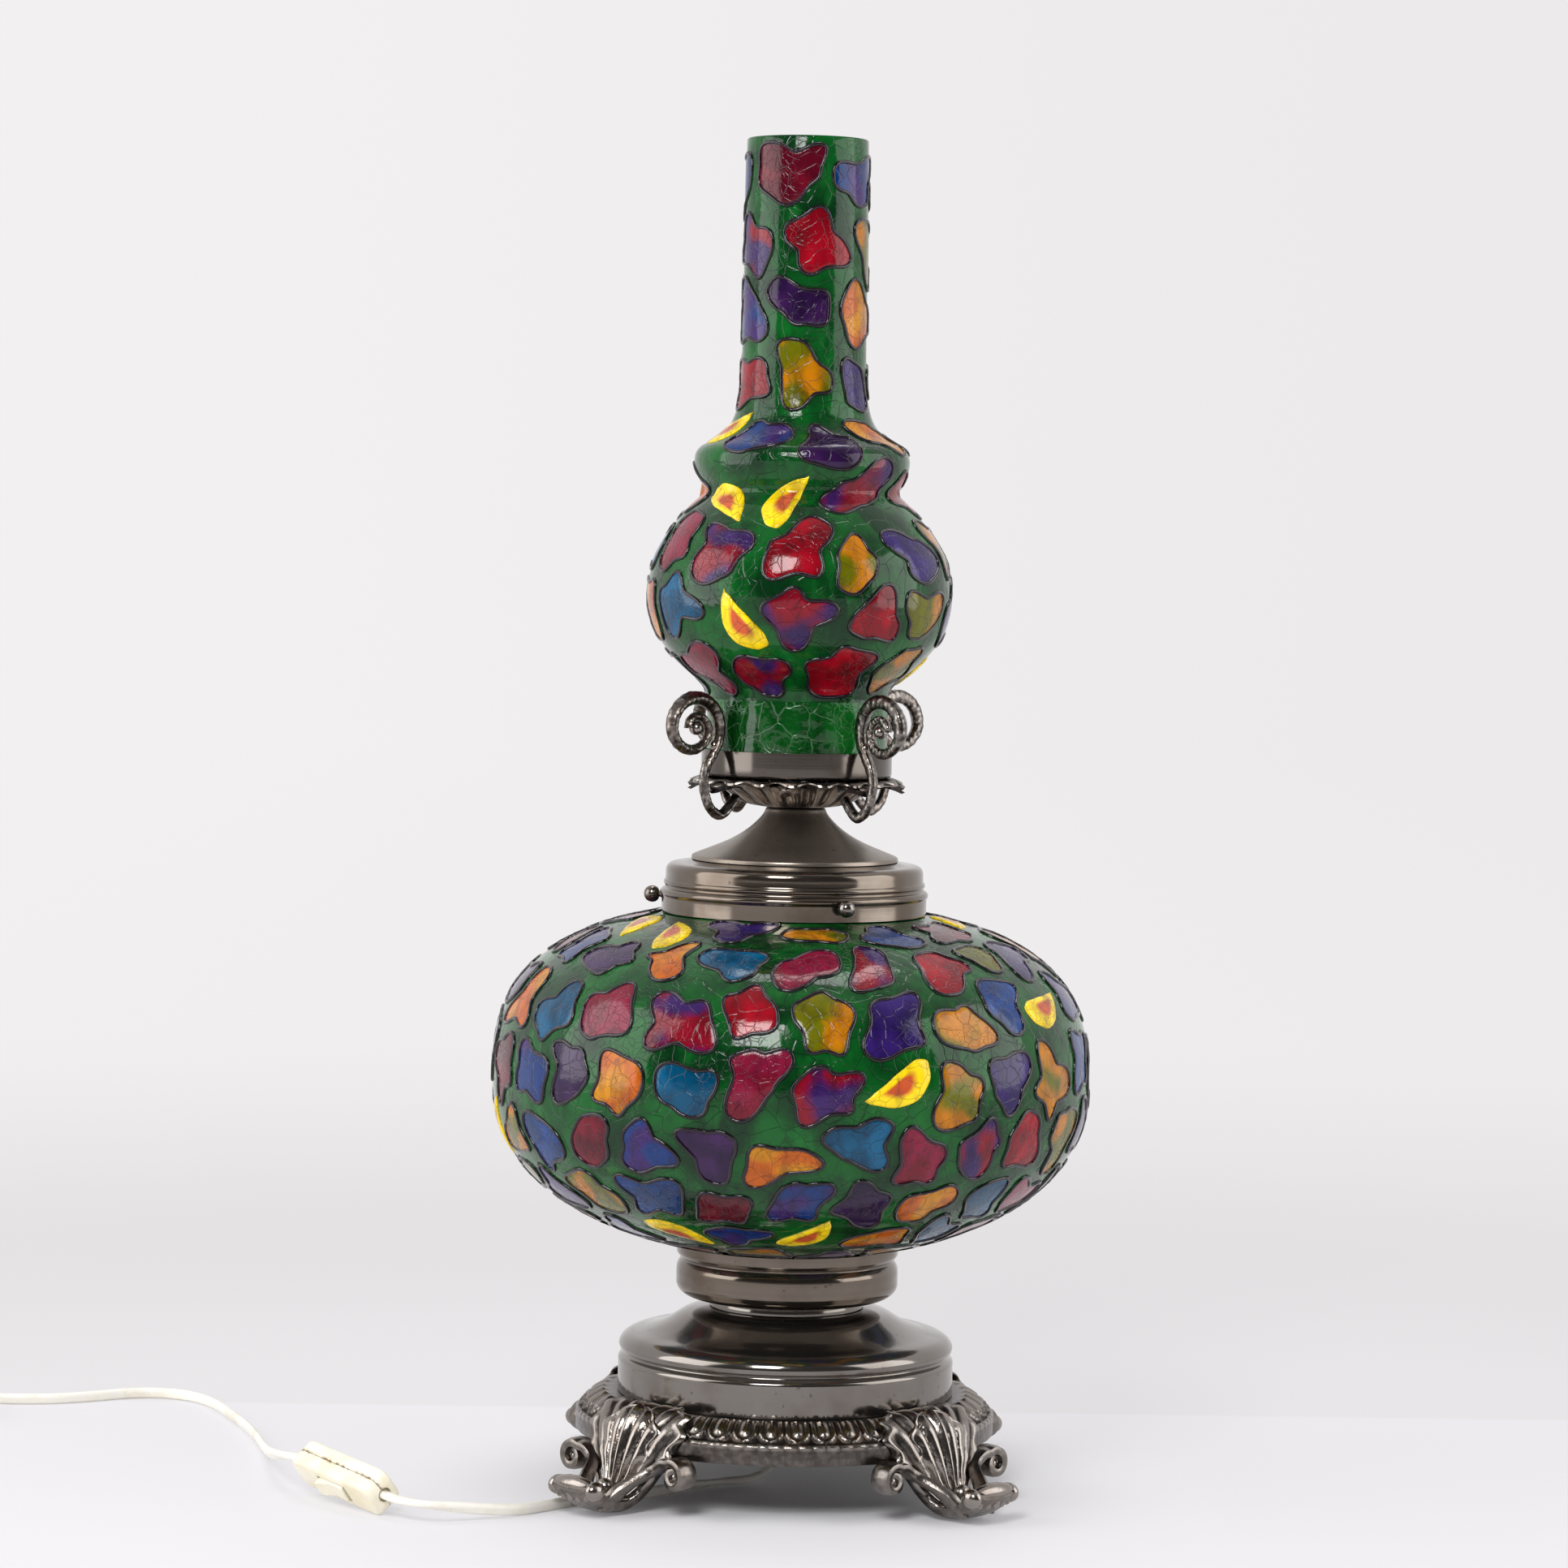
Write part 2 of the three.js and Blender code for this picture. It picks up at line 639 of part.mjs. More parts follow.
function switchOutline(inset) {
  const x = SWITCH.length / 2 - inset;
  const z = SWITCH.width / 2 - inset;
  const corner = 6;
  return new THREE.Shape()
    .moveTo(-x + corner, -z)
    .lineTo(x - corner, -z)
    .quadraticCurveTo(x, -z, x, -z + corner)
    .lineTo(x, z - corner)
    .quadraticCurveTo(x, z, x - corner, z)
    .lineTo(-x + corner, z)
    .quadraticCurveTo(-x, z, -x, z - corner)
    .lineTo(-x, -z + corner)
    .quadraticCurveTo(-x, -z, -x + corner, -z);
}

// Half a housing, side 1 the back and side -1 the front: a flat parting face, a rounded outer one
function switchShell(side) {
  const bevel = 2.2;
  const parting = (side * GAP) / 2;
  const shell = new THREE.ExtrudeGeometry(switchOutline(bevel), {
    depth: SWITCH.depth / 2 - GAP / 2,
    curveSegments: 3,
    bevelSize: bevel,
    bevelThickness: bevel,
    bevelSegments: 2,
  });
  shell.rotateX((-side * Math.PI) / 2).translate(0, parting - side * bevel, 0);
  const beyond = new THREE.BoxGeometry(100, 40, 60).translate(0, parting - side * 20, 0);
  const cordHoles = [-1, 1].map((end) =>
    new THREE.CylinderGeometry(3.6, 3.6, 6, 10).rotateZ(Math.PI / 2).translate((end * SWITCH.length) / 2, 0, 0),
  );
  return cut(shell, beyond, ...cordHoles);
}

function rockerGeometry() {
  const { length, width, swing, pivot } = ROCKER;
  const face = -SWITCH.depth / 2;
  const half = length / 2;
  const outline = [
    [-half, face - 2.8],
    [0, face - 0.8],
    [half, face - 2.8],
    [half - 0.6, pivot],
    [half - 4, pivot + 2],
    [-half + 4, pivot + 2],
    [-half + 0.6, pivot],
  ];
  const shape = new THREE.Shape(outline.map(([x, y]) => new THREE.Vector2(x, y)));
  return new THREE.ExtrudeGeometry(shape, { depth: width, bevelEnabled: false })
    .translate(0, -pivot, -width / 2)
    .rotateZ(inRadians(swing))
    .translate(0, pivot, 0);
}

const well = new THREE.BoxGeometry(ROCKER.length + 3, 14, ROCKER.width + 0.8).translate(0, -8.2, 0);
const screwHole = new THREE.CylinderGeometry(3, 3, 8, 12).translate(0, SWITCH.depth / 2, 0);
const switchPieces = {
  switch_front_shell: [cut(switchShell(-1), well), creamPlastic],
  switch_back_shell: [cut(switchShell(1), screwHole), creamPlastic],
  switch_rocker: [rockerGeometry(), creamPlastic],
  switch_screw: [new THREE.CylinderGeometry(2.6, 2.6, 1.8, 10).translate(0, 4.9, 0), steel],
};
for (const [name, [geometry, material]] of Object.entries(switchPieces)) {
  switchBody.add(piece(name, geometry, material));
}
const lowest = new THREE.Box3().setFromObject(switchBody, true).min.z;
switchBody.position.set(SWITCH.x, SWITCH.y, 0.1 - lowest);

// Free stretches of the cord: from the bushing round the front left foot to the switch, and on
// from the switch over the table. Both start at the switch, so that the cord lies flat
const toSwitch = [
  [0, 0, 24.7],
  [-0.7, -0.3, 18.9],
  [-2.7, -1.4, 13.6],
  [-5.8, -3, 8.9],
  [-9.8, -5.3, 5.4],
  [-14.5, -8, 3.2],
  [-19.4, -10.9, CORD_LIES],
  [-31, -16.6, CORD_LIES],
  [-43, -27, CORD_LIES],
  [-55, -40, CORD_LIES],
  [-68, -52.5, CORD_LIES],
  [-82, -62, CORD_LIES],
  [-95, -70, CORD_LIES],
  [-106, -79, CORD_LIES],
  [-117, -90, 2.8],
  [-130, -102, 3.8],
  [-145, -112, 6],
  [-158.4, -118.6, 8.1],
  [-168.3, -119.4, 8.9],
  [-177.8, -116.5, 9.6],
];
const toCoil = [
  [-241.6, -41.4, 16],
  [-249, -18, 11.8],
  [-256.5, 14, 6.8],
  [-263, 46, 3.4],
  [-270, 76, CORD_LIES],
  [-279, 106, CORD_LIES],
  [-290, 136, CORD_LIES],
  [-300, 161, CORD_LIES],
  [-310, 179, CORD_LIES],
  [-322, 190.5, CORD_LIES],
  [-337, 195.6, CORD_LIES],
  [-353, 192, CORD_LIES],
  [-369, 182, CORD_LIES],
  [-387, 173.4, CORD_LIES],
  [-405, 170.2, CORD_LIES],
];
// Straight into the switch: two points on its axis, in the hole and a diameter outside it
switchBody.updateMatrixWorld(true);
const onSwitch = (x) => new THREE.Vector3(x, 0, 0).applyMatrix4(switchBody.matrixWorld).toArray();
const holeBottom = SWITCH.length / 2 - 3 + GAP;
const outside = SWITCH.length / 2 + CORD_WIDTH;
const intoSwitch = [onSwitch(outside), onSwitch(holeBottom)];
const outOfSwitch = [onSwitch(-holeBottom), onSwitch(-outside)];

// The rest of the cord, put away as a coil in two layers with the cord on its edge: in along the
// lower layer, up in half a turn, out along the upper one, and down to the plug
const COIL = { x: -462, inner: 29.3, pitch: 5.2, layer: 7.2, turnsIn: 2, turnsOut: 1.75, bottom: 4.6 };
const LEAD_Y = 170;
const coilOuter = COIL.inner + COIL.pitch * COIL.turnsIn;
const coilY = LEAD_Y - coilOuter;
const LEAD_IN = 38;
const LEAD_OUT = 46;
const ease = (t) => t * t * (3 - 2 * t);
const share = (value, from, to) => ease(THREE.MathUtils.clamp((value - from) / (to - from), 0, 1));

// Places along the coil, each with how far the cord is turned from flat (0) to on its edge (1)
function coilPlaces(stepsPerTurn) {
  const places = [];
  const straight = (from, length, edge, height) => {
    const steps = Math.round(length / 7.5);
    for (let i = 0; i <= steps; i++) {
      const run = (length * i) / steps;
      places.push({ at: from(run, height(run)), edge: edge(run) });
    }
  };
  straight(
    (run, z) => new THREE.Vector3(COIL.x + LEAD_IN - run, LEAD_Y, z),
    LEAD_IN,
    (run) => share(run, CORD_WIDTH, LEAD_IN - 4),
    (run) => CORD_LIES + (COIL.bottom - CORD_LIES) * share(run, CORD_WIDTH, LEAD_IN - 4),
  );
  places.pop();
  const turns = COIL.turnsIn + 0.5 + COIL.turnsOut;
  const steps = Math.round(turns * stepsPerTurn);
  for (let i = 0; i <= steps; i++) {
    const turn = (turns * i) / steps;
    const radius = COIL.inner + COIL.pitch * Math.max(COIL.turnsIn - turn, turn - COIL.turnsIn - 0.5, 0);
    const climb = THREE.MathUtils.clamp((turn - COIL.turnsIn) * 2, 0, 1);
    const angle = Math.PI * (0.5 + 2 * turn);
    const x = COIL.x + radius * Math.cos(angle);
    const y = coilY + radius * Math.sin(angle);
    places.push({ at: new THREE.Vector3(x, y, COIL.bottom + COIL.layer * climb), edge: 1 });
  }
  const top = places.pop().at;
  const fall = top.z - PLUG_THICKNESS / 2 - 0.2;
  straight(
    (run, z) => new THREE.Vector3(top.x, top.y - run, z),
    LEAD_OUT,
    (run) => 1 - share(run, 4, LEAD_OUT - CORD_WIDTH),
    (run) => top.z - fall * share(run, 4, LEAD_OUT - CORD_WIDTH),
  );
  return places;
}

// Loops of points round the cord at those places
function cordRings(places, sides) {
  const up = new THREE.Vector3(0, 0, 1);
  return places.map(({ at, edge }, i) => {
    const before = places[Math.max(i - 1, 0)].at;
    const after = places[Math.min(i + 1, places.length - 1)].at;
    const along = after.clone().sub(before).normalize();
    const flat = along.clone().cross(up).normalize();
    const wide = flat.applyAxisAngle(along, (edge * Math.PI) / 2);
    const thin = wide.clone().cross(along);
    return Array.from({ length: sides }, (_, k) => {
      const angle = (2 * Math.PI * k) / sides;
      return at
        .clone()
        .addScaledVector(wide, (CORD_WIDTH / 2) * Math.cos(angle))
        .addScaledVector(thin, (CORD_THICKNESS / 2) * Math.sin(angle));
    });
  });
}

// Least distance between points of the coil that lie over an eighth of a turn apart along it
function leastGap() {
  const perTurn = 96;
  const rings = cordRings(coilPlaces(perTurn), 12);
  let least = Infinity;
  rings.forEach((ring, i) => {
    rings.slice(i + perTurn / 8).forEach((other) => {
      if (ring[0].distanceTo(other[0]) > 4 * CORD_WIDTH) return;
      for (const p of ring) for (const q of other) least = Math.min(least, p.distanceTo(q));
    });
  });
  return least;
}
console.log("Least gap of the coil to itself:", leastGap().toFixed(2), "mm");

const cordSteps = { cord_to_switch: 30, cord_to_coil: 30 };
const leadStart = [COIL.x + LEAD_IN + GAP, LEAD_Y, CORD_LIES];
const leadBefore = [leadStart[0] + CORD_WIDTH, LEAD_Y, CORD_LIES];
const stretches = {
  cord_to_switch: [...toSwitch, ...intoSwitch].reverse(),
  cord_to_coil: [...outOfSwitch, ...toCoil, leadBefore, leadStart],
};
for (const [name, route] of Object.entries(stretches)) {
  piece(name, rodAlong(route, CORD_WIDTH, CORD_THICKNESS, cordSteps[name], 8), whiteVinyl);
}
piece("cord_coil", loft(cordRings(coilPlaces(20), 6)), whiteVinyl);

// Tie round the coil's four strands, on the side away from the plug
function coilTie() {
  const strap = { azimuth: -45, width: 5, thickness: 0.8, slack: 0.5 };
  const half = CORD_THICKNESS / 2 + strap.slack;
  const low = COIL.bottom - CORD_WIDTH / 2 - strap.slack;
  const high = COIL.bottom + COIL.layer + CORD_WIDTH / 2 + strap.slack;
  const near = COIL.inner + COIL.pitch * 0.125 - half;
  const far = COIL.inner + COIL.pitch * 1.375 + half;
  const loop = (grow) => [
    [near - grow, low + 1.5],
    [near + 1.5, low - grow],
    [far - 1.5, low - grow],
    [far + grow, low + 1.5],
    [far + grow, high - 1.5],
    [far - 1.5, high + grow],
    [near + 1.5, high + grow],
    [near - grow, high - 1.5],
  ];
  const [inner, outer] = [loop(0), loop(strap.thickness)].map((line) =>
    line.map(([r, z]) => new THREE.Vector2(r, z)),
  );
  const shape = new THREE.Shape(outer);
  shape.holes.push(new THREE.Path(inner));
  const tie = new THREE.ExtrudeGeometry(shape, { depth: strap.width, bevelEnabled: false });
  return turned(tie.rotateX(Math.PI / 2).translate(0, strap.width / 2, 0), strap.azimuth).translate(COIL.x, coilY, 0);
}
piece("coil_tie", coilTie(), bakelite);

// Flat two-pin plug on the end of the cord, lying on its side
const plug = new THREE.Group();
const coilEnd = coilPlaces(20).pop().at;
plug.position.set(coilEnd.x, coilEnd.y - GAP, coilEnd.z);
lamp.add(plug);
const PLUG = { length: 36, pinSpacing: 18.6, pinRadius: 2, pinLength: 19, seat: 5 };
function plugBody() {
  const bevel = 2;
  const outline = [
    [-5, -bevel],
    [5, -bevel],
    [7, -12],
    [15.5, -19],
    [15.5, -PLUG.length + bevel],
    [-15.5, -PLUG.length + bevel],
    [-15.5, -19],
    [-7, -12],
  ];
  const shape = new THREE.Shape(outline.map(([x, y]) => new THREE.Vector2(x, y)));
  const body = new THREE.ExtrudeGeometry(shape, {
    depth: PLUG_THICKNESS - 2 * bevel,
    bevelSize: bevel,
    bevelThickness: bevel,
    bevelSegments: 2,
  });
  const seats = [-1, 1].map((side) =>
    new THREE.CylinderGeometry(PLUG.pinRadius + GAP, PLUG.pinRadius + GAP, 2 * PLUG.seat, 10).translate(
      (side * PLUG.pinSpacing) / 2,
      -PLUG.length,
      0,
    ),
  );
  return cut(body.translate(0, 0, -PLUG_THICKNESS / 2 + bevel), ...seats);
}
plug.add(piece("plug_body", plugBody(), whiteVinyl));
for (const [place, side] of Object.entries({ left: -1, right: 1 })) {
  const outline = [
    [0, PLUG.length - PLUG.seat + GAP],
    [PLUG.pinRadius, PLUG.length - PLUG.seat + GAP],
    [PLUG.pinRadius, PLUG.length + PLUG.pinLength - 1.4],
    [1.2, PLUG.length + PLUG.pinLength],
    [0, PLUG.length + PLUG.pinLength],
  ];
  const pin = revolve(outline, 8).rotateX(Math.PI / 2).translate((side * PLUG.pinSpacing) / 2, 0, 0);
  plug.add(piece("plug_pin_" + place, pin, brass));
}

export default lamp;
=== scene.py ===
import math
import random

import bpy
from mathutils import Matrix, Vector, kdtree, noise


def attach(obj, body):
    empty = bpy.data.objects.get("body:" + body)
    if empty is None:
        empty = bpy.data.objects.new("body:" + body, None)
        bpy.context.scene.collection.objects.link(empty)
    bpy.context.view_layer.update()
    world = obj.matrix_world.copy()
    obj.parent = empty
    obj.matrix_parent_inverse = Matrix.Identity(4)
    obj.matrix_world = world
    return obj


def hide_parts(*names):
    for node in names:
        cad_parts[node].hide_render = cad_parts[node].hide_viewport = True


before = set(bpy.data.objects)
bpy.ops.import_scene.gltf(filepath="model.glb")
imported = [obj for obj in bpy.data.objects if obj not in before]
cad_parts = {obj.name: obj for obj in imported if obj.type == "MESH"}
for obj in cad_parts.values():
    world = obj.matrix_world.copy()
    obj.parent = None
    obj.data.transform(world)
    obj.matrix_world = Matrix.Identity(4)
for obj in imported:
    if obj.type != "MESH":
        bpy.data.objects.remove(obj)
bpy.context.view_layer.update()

# The stand: a pale table top that runs on as a pale backdrop, and the camera in front of the lamp.
# The camera looks down by three degrees and is tipped by one, so the lamp leans a little to the right.
scene = bpy.context.scene
scene.view_settings.view_transform = "Standard"


def tone(red, green, blue):
    """A colour as seen on a screen, 0 to 255, as the shader's own value"""
    steps = [c / 255 for c in (red, green, blue)]
    return (*[c / 12.92 if c <= 0.04045 else ((c + 0.055) / 1.055) ** 2.4 for c in steps], 1)


class Wire:
    """One output of a node. Sums, differences and products of wires add the Math nodes."""

    def __init__(self, nodes, socket):
        self.nodes, self.socket = nodes, socket

    def math(self, operation, *values):
        return self.nodes.node("ShaderNodeMath", {"operation": operation}, dict(enumerate(values)))

    def __add__(self, other):
        return self.math("ADD", self, other)

    def __mul__(self, other):
        return self.math("MULTIPLY", self, other)

    def __sub__(self, other):
        return self.math("SUBTRACT", self, other)

    def __rsub__(self, other):
        return self.math("SUBTRACT", other, self)


class Nodes:
    """The nodes of a material or of the world, which node() adds and wires up"""

    def __init__(self, tree):
        self.tree = tree

    def join(self, socket, value):
        if isinstance(value, Wire):
            self.tree.links.new(value.socket, socket)
        else:
            socket.default_value = value

    def node(self, kind, settings=None, sockets=None, output=0):
        made = self.tree.nodes.new(kind)
        for name, value in (settings or {}).items():
            setattr(made, name, value)
        for name, value in (sockets or {}).items():
            self.join(made.inputs[name], value)
        return Wire(self, made.outputs[output])

    def blend(self, share, first, second, mode="MIX"):
        settings = {"data_type": "RGBA", "blend_type": mode}
        return self.node("ShaderNodeMix", settings, {0: share, 6: first, 7: second}, 2)

    def ramp(self, value, low, high):
        """0 below low and 1 above high, with a smooth passage"""
        sockets = {"Value": value, "From Min": low, "From Max": high}
        return self.node("ShaderNodeMapRange", {"interpolation_type": "SMOOTHSTEP"}, sockets)

    def seen_by(self, *kinds):
        """1 for a ray of one of the kinds named, such as those from the camera"""
        rays = [self.node("ShaderNodeLightPath", output=f"Is {kind} Ray") for kind in kinds]
        most = rays[0]
        for ray in rays[1:]:
            most = most.math("MAXIMUM", most, ray)
        return most


class Finish(Nodes):
    """A material with one Principled shader"""

    def __init__(self, name, **constants):
        self.material = bpy.data.materials.new(name)
        self.material.use_nodes = True
        super().__init__(self.material.node_tree)
        self.shader = self.tree.nodes["Principled BSDF"]
        self.place = self.node("ShaderNodeTexCoord", output="Object")
        self.set(**constants)

    def set(self, **sockets):
        for name, value in sockets.items():
            self.join(self.shader.inputs[name.replace("_", " ")], value)

    def cloud(self, scale, detail=3.0, stretch=None):
        """Soft noise, drawn out along an axis by a small number in stretch"""
        place = self.place
        if stretch:
            place = self.node("ShaderNodeMapping", None, {"Vector": place, "Scale": stretch})
        return self.node("ShaderNodeTexNoise", None, {"Vector": place, "Scale": scale, "Detail": detail})

    def cells(self, scale, warp):
        """How far a point is from the edge of its cell, as in crazed glass"""
        shift = self.node("ShaderNodeTexNoise", None, {"Vector": self.place, "Scale": scale * 0.6}, 1)
        moved = {0: shift, 1: (warp,) * 3, 2: self.place}
        place = self.node("ShaderNodeVectorMath", {"operation": "MULTIPLY_ADD"}, moved)
        sockets = {"Vector": place, "Scale": scale}
        return self.node("ShaderNodeTexVoronoi", {"feature": "DISTANCE_TO_EDGE"}, sockets)

    def bump(self, height, distance, strength=1.0):
        sockets = {"Height": height, "Distance": distance, "Strength": strength}
        self.set(Normal=self.node("ShaderNodeBump", None, sockets))


def placed(name, data):
    """A new object of the scene for a mesh, a curve, a light or a camera"""
    made = bpy.data.objects.new(name, data)
    scene.collection.objects.link(made)
    return made


eye = placed("camera", bpy.data.cameras.new("camera"))
eye.data.lens = 111.52
eye.data.sensor_width = 36
eye.location = (-0.006, -2.394, 0.470)
pitch, roll = math.radians(87.057), math.radians(1.07)
eye.rotation_euler = (Matrix.Rotation(pitch, 3, "X") @ Matrix.Rotation(roll, 3, "Z")).to_euler()
scene.camera = eye

bpy.ops.object.select_all(action="DESELECT")
bpy.ops.mesh.primitive_plane_add(size=16)
table = bpy.context.object
table.name = "table_top"
bpy.ops.object.mode_set(mode="EDIT")
bpy.ops.mesh.subdivide(number_cuts=9)
bpy.ops.object.mode_set(mode="OBJECT")

# The camera, metal and glass see mostly the table's pale colour, with the lamp's shadow on it; that colour is a
# little darker to the right, a painted falloff of the light
FAR_LEFT, FAR_RIGHT = tone(242, 240, 241), tone(236, 234, 235)
pale = Finish("pale_table", Roughness=0.6, Base_Color=tone(232, 231, 233))
x_place, y_place = [pale.node("ShaderNodeSeparateXYZ", None, {0: pale.place}, i) for i in range(2)]
far = pale.node("ShaderNodeVectorMath", {"operation": "LENGTH"}, {0: pale.place}, 1)
# The table's far edge shows as a faint line, a little askew, 0.2 m behind the lamp
behind = pale.ramp(y_place + x_place * -0.03, 0.192, 0.2)
# Each tone is a little darker to the right: a painted falloff of the light
front_tone = pale.blend(pale.ramp(x_place, -0.4, 0.45), tone(236, 233, 237), tone(232, 230, 234))
rear_tone = pale.blend(pale.ramp(x_place, -0.6, 0.7), tone(227, 224, 225), tone(226, 224, 225))
far_tone = pale.blend(pale.ramp(x_place, -1.5, 1.5), FAR_LEFT, FAR_RIGHT)
near_tone = pale.blend(behind, front_tone, rear_tone)
lit_share = pale.ramp(far, 0.07, 0.24) * 0.62 + pale.ramp(far, 0.3, 1.3) * 0.36 + 0.02
pale_tone_with_falloff = pale.blend(pale.ramp(far, 0.5, 2.2), near_tone, far_tone)
glow = pale.node("ShaderNodeEmission", None, {"Color": pale_tone_with_falloff})
glow_share = pale.seen_by("Camera", "Glossy", "Transmission") * lit_share
surface = {0: glow_share, 1: Wire(pale, pale.shader.outputs[0]), 2: glow}
pale.join(pale.tree.nodes["Material Output"].inputs[0], pale.node("ShaderNodeMixShader", None, surface))
table.data.materials.append(pale.material)

world = bpy.data.worlds.new("studio")
world.use_nodes = True
scene.world = world
sky = Nodes(world.node_tree)
heading = sky.node("ShaderNodeTexCoord", output="Generated")
x_way, y_way = [sky.node("ShaderNodeSeparateXYZ", None, {0: heading}, i) for i in range(2)]

# The room in front of the lamp is dark and the wall behind it pale, as black metal shows it
toward_wall = sky.node("ShaderNodeMapRange", None, {0: y_way, 1: -0.55, 2: 0.25})
room = sky.blend(toward_wall, tone(70, 68, 68), tone(240, 238, 239))
mirrored = sky.blend(sky.seen_by("Glossy"), (0.36, 0.36, 0.37, 1), room)
# The wall seen past the table is a little darker to the right: a painted falloff of the light
wall = sky.blend(sky.ramp(x_way, -0.144, 0.144), FAR_LEFT, FAR_RIGHT)
seen = sky.blend(sky.seen_by("Camera", "Transmission"), mirrored, wall)
sky.join(world.node_tree.nodes["Background"].inputs["Color"], seen)

# Each softbox: where it stands, how high on the lamp's axis it aims, its width, height and power
softboxes = {
    "key": ((-0.42, -1.62, 1.50), 0.24, 0.62, 0.78, 24),
    "left": ((-1.31, -0.35, 0.75), 0.30, 1.10, 1.30, 13),
    "right": ((1.31, -0.30, 0.75), 0.30, 1.10, 1.30, 11),
    "top": ((0.1, 0.5, 2.1), 0.30, 0.9, 0.9, 12),
}
for name, (place, aim, width, height, power) in softboxes.items():
    light = bpy.data.lights.new("softbox_" + name, "AREA")
    light.shape = "RECTANGLE"
    light.size, light.size_y, light.energy = width, height, power
    box = placed("softbox_" + name, light)
    box.location = place
    box.rotation_euler = (Vector((0, 0, aim)) - Vector(place)).to_track_quat("-Z", "Y").to_euler()


# Flat twin cord of white vinyl, about 1.7 m long: out of the bushing, round the front left foot to the
# switch, on over the table, and wound into a coil beside it. Two cores leave a groove on each face, and
# where the cord lies free it is turned on its edge.
def metres(points):
    return [Vector(p) / 1000 for p in points]


def flowing(points, steps):
    """Points on one smooth curve through all the points given, so many for each stretch"""
    points = [Vector(p) for p in points]
    ends = [2 * points[0] - points[1], *points, 2 * points[-1] - points[-2]]
    line = []
    for a, b, c, d in zip(ends, ends[1:], ends[2:], ends[3:]):
        t1 = (b - a).length ** 0.5
        t2 = t1 + (c - b).length ** 0.5
        t3 = t2 + (d - c).length ** 0.5
        for i in range(steps):
            t = t1 + (t2 - t1) * i / steps
            ab = (a * (t1 - t) + b * t) / t1
            bc = (b * (t2 - t) + c * (t - t1)) / (t2 - t1)
            cd = (c * (t3 - t) + d * (t - t2)) / (t3 - t2)
            abc = (ab * (t2 - t) + bc * t) / t2
            bcd = (bc * (t3 - t) + cd * (t - t1)) / (t3 - t1)
            line.append((abc * (t2 - t) + bcd * (t - t1)) / (t2 - t1))
    return line + [points[-1]]


def bearing(line, i):
    """Which way a line of points runs at one of them"""
    return (line[min(i + 1, len(line) - 1)] - line[max(i - 1, 0)]).normalized()


def around(count):
    """The angles of so many points round a circle"""
    return [2 * math.pi * k / count for k in range(count)]


def picked(piece):
    """Makes one piece the selected and the active one"""
    bpy.ops.object.select_all(action="DESELECT")
    piece.select_set(True)
    bpy.context.view_layer.objects.active = piece
    return piece


def in_edit(piece):
    """Starts edit mode on one piece with all of it selected"""
    picked(piece)
    bpy.ops.object.mode_set(mode="EDIT")
    bpy.ops.mesh.select_all(action="SELECT")
    return piece


def smoothed(piece, degrees):
    """Smooth faces on one piece, but for edges sharper than an angle"""
    picked(piece)
    bpy.ops.object.shade_smooth_by_angle(angle=math.radians(degrees))
    return piece


def meshed(name, points, faces):
    """A new piece from points in metres and faces over them"""
    mesh = bpy.data.meshes.new(name)
    mesh.from_pydata(points, [], faces)
    return placed(name, mesh)


def band(start, count):
    """The faces between two loops of points, the first of which begins at start"""
    nexts = [(k + 1) % count for k in range(count)]
    return [(start + k, start + n, start + count + n, start + count + k) for k, n in enumerate(nexts)]


def skinned(name, rows):
    """A solid skin over rows of points, each row a closed loop, with both ends closed"""
    count, last = len(rows[0]), (len(rows) - 1) * len(rows[0])
    faces = [face for r in range(len(rows) - 1) for face in band(r * count, count)]
    faces += [tuple(reversed(range(count))), tuple(range(last, last + count))]
    piece = in_edit(meshed(name, [point for row in rows for point in row], faces))
    bpy.ops.mesh.normals_make_consistent(inside=False)
    bpy.ops.object.mode_set(mode="OBJECT")
    return smoothed(piece, 50)


def covered(piece, finish):
    """Gives a piece one finish and no other"""
    piece.data.materials.clear()
    piece.data.materials.append(finish.material)


def worn_by(piece, finish, body, slot, *nodes):
    """Gives a piece its finish, the body that it moves with and the solids that it stands for"""
    covered(piece, finish)
    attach(piece, body)
    if nodes:
        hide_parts(*nodes)


CORD = (0.0060, 0.0040)  # width and thickness
UP = Vector((0, 0, 1))


def twin_section(across, thin):
    """The flat twin section: two round cores side by side with a shallow groove between"""
    points = []
    for angle in around(20):
        groove = 1 - 0.2 * math.exp(-((math.cos(angle) / 0.22) ** 2))
        points.append(across * (CORD[0] / 2 * math.cos(angle)) + thin * (CORD[1] / 2 * groove * math.sin(angle)))
    return points


def flat_cord(name, places):
    """A cord through (point, edge) places; edge 0 lies flat and edge 1 stands on its narrow side"""
    line, rows, flat = [at for at, edge in places], [], None
    for i in range(len(places) - 1, -1, -1):
        along = bearing(line, i)
        if abs(along.z) < 0.85 or flat is None:
            flat = along.cross(UP).normalized()
        else:
            flat = (flat - along * flat.dot(along)).normalized()
        wide = Matrix.Rotation(places[i][1] * math.pi / 2, 3, along) @ flat
        rows.append([line[i] + p for p in twin_section(wide, wide.cross(along))])
    return skinned(name, rows)


switch_axes = Matrix(((0.64034, 0.63814, -0.42748), (-0.76313, 0.46542, -0.44835), (-0.08716, 0.61332, 0.78501)))
switch_place = Vector((-0.2105, -0.0805, 0.013431))


def on_switch(x):
    """A point of the switch's long axis, so many millimetres from its middle, as a point of the lamp"""
    return switch_place + switch_axes @ (Vector((x, 0, 0)) / 1000)


